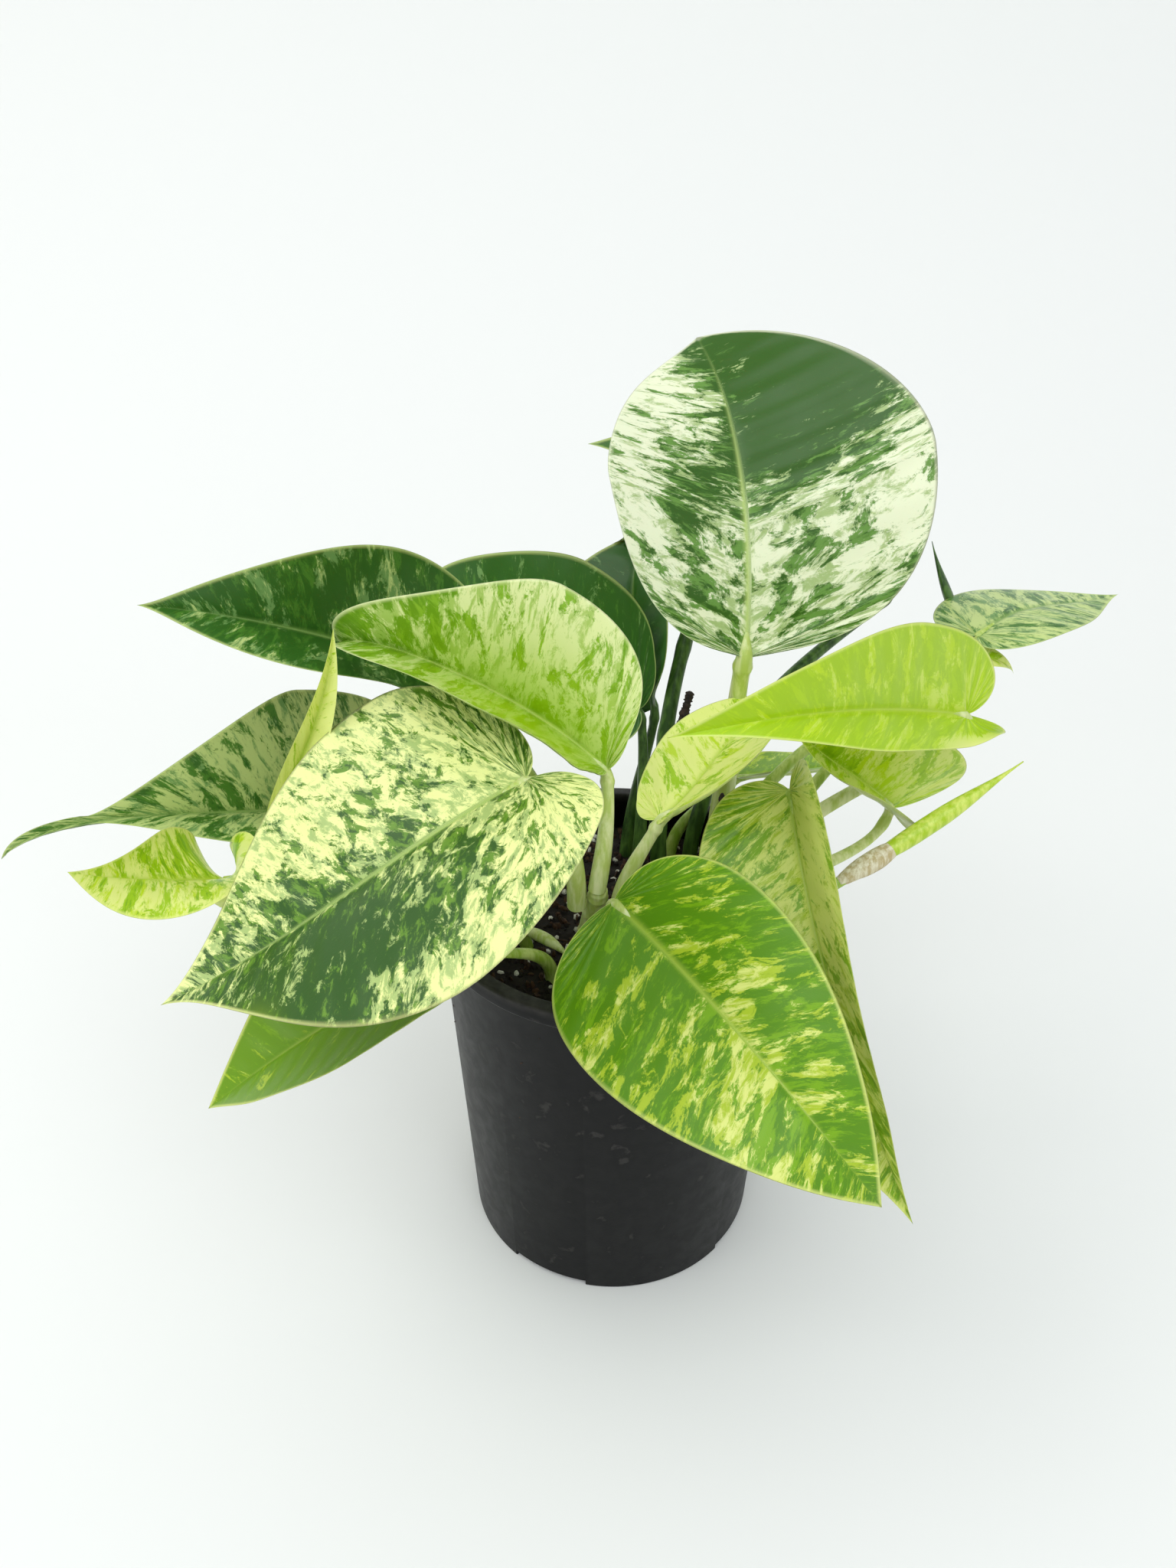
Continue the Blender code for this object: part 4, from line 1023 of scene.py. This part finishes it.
# The top 3 mm of the rim is made lighter grey in specks.
lip = add_node(tree, "ShaderNodeMapRange", {"Value": height, "From Min": RIM_HEIGHT - 3 * MM,
                                            "From Max": RIM_HEIGHT}).outputs["Result"]
crumbs = add_node(tree, "ShaderNodeTexNoise", {"Vector": place, "Scale": 420.0, "Detail": 3.0})
lighter_rim_specks = add_node(tree, "ShaderNodeMath", {0: lip, 1: crumbs.outputs["Fac"]},
                 operation="MULTIPLY").outputs[0]
marks = add_node(tree, "ShaderNodeMath", {0: spotted, 1: 0.35}, operation="MULTIPLY").outputs[0]
total = add_node(tree, "ShaderNodeMath", {0: marks, 1: lighter_rim_specks}, operation="ADD").outputs[0]
faded = add_node(tree, "ShaderNodeMath", {0: total, 1: 0.28}, operation="MULTIPLY").outputs[0]
colours = add_node(tree, "ShaderNodeValToRGB", {"Fac": faded})
colours.color_ramp.elements[0].color = linear("#070708")
colours.color_ramp.elements[1].color = linear("#8A8580")
tree.links.new(colours.outputs["Color"], shader.inputs["Base Color"])
rough = add_node(tree, "ShaderNodeMapRange",
                 {"Value": spots.outputs["Fac"], "From Min": 0.3, "From Max": 0.7,
                  "To Min": 0.38, "To Max": 0.5}).outputs["Result"]
tree.links.new(rough, shader.inputs["Roughness"])
grain = add_node(tree, "ShaderNodeTexNoise", {"Vector": place, "Scale": 1500.0, "Detail": 2.0})
bump = add_node(tree, "ShaderNodeBump", {"Height": grain.outputs["Fac"], "Strength": 0.25,
                                         "Distance": 0.00005})
tree.links.new(bump.outputs["Normal"], shader.inputs["Normal"])
finish_piece(pot, POT_SKIN, "pot")
print(f"pot wall {WALL / MM:.1f} mm, {len(pot.data.polygons)} faces")

# %% [markdown]
# ## Potting mix
# The mix is dark peat with bark chips and white perlite. The bed is a lumpy closed form; loose
# bits are scattered over its top by Geometry Nodes, because all the grains follow one rule.

# %% The bed of peat
SOIL_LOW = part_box("soil")[0][2]
SOIL_RINGS, SOIL_STEPS = 46, 150
soil_edge = WALL_TOP - WALL - SOIL_GAP
bed = []
for ring in range(SOIL_RINGS + 1):
    radius = soil_edge * ring / SOIL_RINGS
    for step in range(SOIL_STEPS):
        turn = 2 * math.pi * step / SOIL_STEPS
        x, y = radius * math.cos(turn), radius * math.sin(turn)
        lumps = noise.fractal(Vector((x, y, 0)) * 160, 0.7, 2.1, 5) * 1.3 * MM
        sunk = 2.2 * MM * float(blend(0.8, 1.0, np.array(ring / SOIL_RINGS)))
        bed.append((x, y, SOIL_TOP - 1.2 * MM - sunk + lumps))
foot_radius = inner_foot - SOIL_GAP
for step in range(SOIL_STEPS):
    turn = 2 * math.pi * step / SOIL_STEPS
    bed.append((foot_radius * math.cos(turn), foot_radius * math.sin(turn), SOIL_LOW))
faces = [(r * SOIL_STEPS + s, r * SOIL_STEPS + (s + 1) % SOIL_STEPS,
          (r + 1) * SOIL_STEPS + (s + 1) % SOIL_STEPS, (r + 1) * SOIL_STEPS + s)
         for r in range(SOIL_RINGS + 1) for s in range(SOIL_STEPS)]
faces.append(tuple(range((SOIL_RINGS + 1) * SOIL_STEPS, (SOIL_RINGS + 2) * SOIL_STEPS)))
soil = mesh_object("peat_bed", bed, faces)
face_outward(soil, merge_within=0.00001)


def earth_material(name, dark, light, scale, roughness):
    """Mottled, rough stuff that goes from dark to light in grains of this scale."""
    material, tree, shader = new_material(name, IOR=1.45)
    place = add_node(tree, "ShaderNodeTexCoord").outputs["Object"]
    field = add_node(tree, "ShaderNodeTexNoise", {"Vector": place, "Scale": scale, "Detail": 6.0,
                                                  "Roughness": 0.7}).outputs["Fac"]
    ramp = add_node(tree, "ShaderNodeValToRGB", {"Fac": field})
    ramp.color_ramp.elements[0].position = 0.35
    ramp.color_ramp.elements[0].color = linear(dark)
    ramp.color_ramp.elements[1].position = 0.68
    ramp.color_ramp.elements[1].color = linear(light)
    tree.links.new(ramp.outputs["Color"], shader.inputs["Base Color"])
    rough = add_node(tree, "ShaderNodeMapRange", {"Value": field, "To Min": roughness - 0.1,
                                                  "To Max": roughness + 0.1}).outputs["Result"]
    tree.links.new(rough, shader.inputs["Roughness"])
    bump = add_node(tree, "ShaderNodeBump", {"Height": field, "Strength": 0.8,
                                             "Distance": 0.0006})
    tree.links.new(bump.outputs["Normal"], shader.inputs["Normal"])
    return material


PEAT = earth_material("peat_moist", "#0D0A08", "#2B2119", 900.0, 0.85)
BARK = earth_material("pine_bark_chips", "#241710", "#5E4029", 500.0, 0.8)
PERLITE = earth_material("perlite_grains", "#CFC9BC", "#F1EEE6", 800.0, 0.8)
finish_piece(soil, PEAT, "soil")


# %% [markdown]
# ## Loose grains
# Bark chips, crumbs and perlite fall where they like, so one rule scatters all three: random points
# on the faces that look up, each with a random turn and size. Noise then roughens every grain. Its
# offsets would start from the clock, so they get a seed too, and each run gives the same grains.

# %% Scatter bark, crumbs and perlite over the bed
def scatter_tree():
    """Scatters one grain shape over the faces that look up."""
    tree = bpy.data.node_groups.new("scatter_grains", "GeometryNodeTree")
    for label, kind in (("Bed", "Geometry"), ("Density", "Float"), ("Smallest", "Vector"),
                        ("Largest", "Vector"), ("Seed", "Int"), ("Finish", "Material")):
        tree.interface.new_socket(label, in_out="INPUT", socket_type="NodeSocket" + kind)
    tree.interface.new_socket("Grains", in_out="OUTPUT", socket_type="NodeSocketGeometry")
    given = add_node(tree, "NodeGroupInput").outputs
    normal = add_node(tree, "GeometryNodeInputNormal").outputs[0]
    upward = add_node(tree, "ShaderNodeSeparateXYZ", {0: normal}).outputs["Z"]
    faces_up = add_node(tree, "FunctionNodeCompare", {0: upward, 1: 0.5}, data_type="FLOAT",
                        operation="GREATER_THAN").outputs[0]
    spots = add_node(tree, "GeometryNodeDistributePointsOnFaces",
                     {"Mesh": given["Bed"], "Selection": faces_up, "Density": given["Density"],
                      "Seed": given["Seed"]}).outputs["Points"]
    grain = add_node(tree, "GeometryNodeMeshIcoSphere",
                     {"Radius": 1.0, "Subdivisions": 1}).outputs["Mesh"]
    size = add_node(tree, "FunctionNodeRandomValue",
                    {0: given["Smallest"], 1: given["Largest"], "Seed": given["Seed"]},
                    data_type="FLOAT_VECTOR").outputs[0]
    turn = add_node(tree, "FunctionNodeRandomValue",
                    {0: (0.0, 0.0, 0.0), 1: (6.28, 6.28, 6.28), "Seed": given["Seed"]},
                    data_type="FLOAT_VECTOR").outputs[0]
    placed = add_node(tree, "GeometryNodeInstanceOnPoints",
                      {"Points": spots, "Instance": grain, "Rotation": turn, "Scale": size})
    real = add_node(tree, "GeometryNodeRealizeInstances", {"Geometry": placed.outputs[0]})
    painted = add_node(tree, "GeometryNodeSetMaterial",
                       {"Geometry": real.outputs[0], "Material": given["Finish"]})
    add_node(tree, "NodeGroupOutput", {"Grains": painted.outputs[0]})
    return tree


SCATTER_TREE = scatter_tree()
ROUGHNESS_SEED = 1
noise.seed_set(ROUGHNESS_SEED)
GRAINS = {
    "bark_bits": (BARK, 90000.0, (0.8, 0.5, 0.3), (2.6, 1.5, 0.9), 3),
    "peat_crumbs": (PEAT, 160000.0, (0.4, 0.4, 0.3), (1.3, 1.1, 0.8), 11),
    "perlite_bits": (PERLITE, 17000.0, (0.6, 0.6, 0.5), (1.5, 1.4, 1.2), 7),
}
for name, (skin, density, smallest, largest, seed) in GRAINS.items():
    grains = bpy.data.objects.new(name, soil.data.copy())
    scene.collection.objects.link(grains)
    apply_tree(grains, SCATTER_TREE, {
        "Density": density, "Smallest": tuple(v * MM for v in smallest),
        "Largest": tuple(v * MM for v in largest), "Seed": seed, "Finish": skin})
    for vertex in grains.data.vertices:
        vertex.co += noise.noise_vector(vertex.co * 1400) * 0.25 * MM
    finish_piece(grains, skin, None)
    print(name, len(grains.data.polygons), "faces")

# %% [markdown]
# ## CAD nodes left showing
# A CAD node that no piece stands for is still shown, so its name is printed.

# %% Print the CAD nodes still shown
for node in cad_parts.values():
    if not node.hide_render:
        print("left as CAD:", node.name)
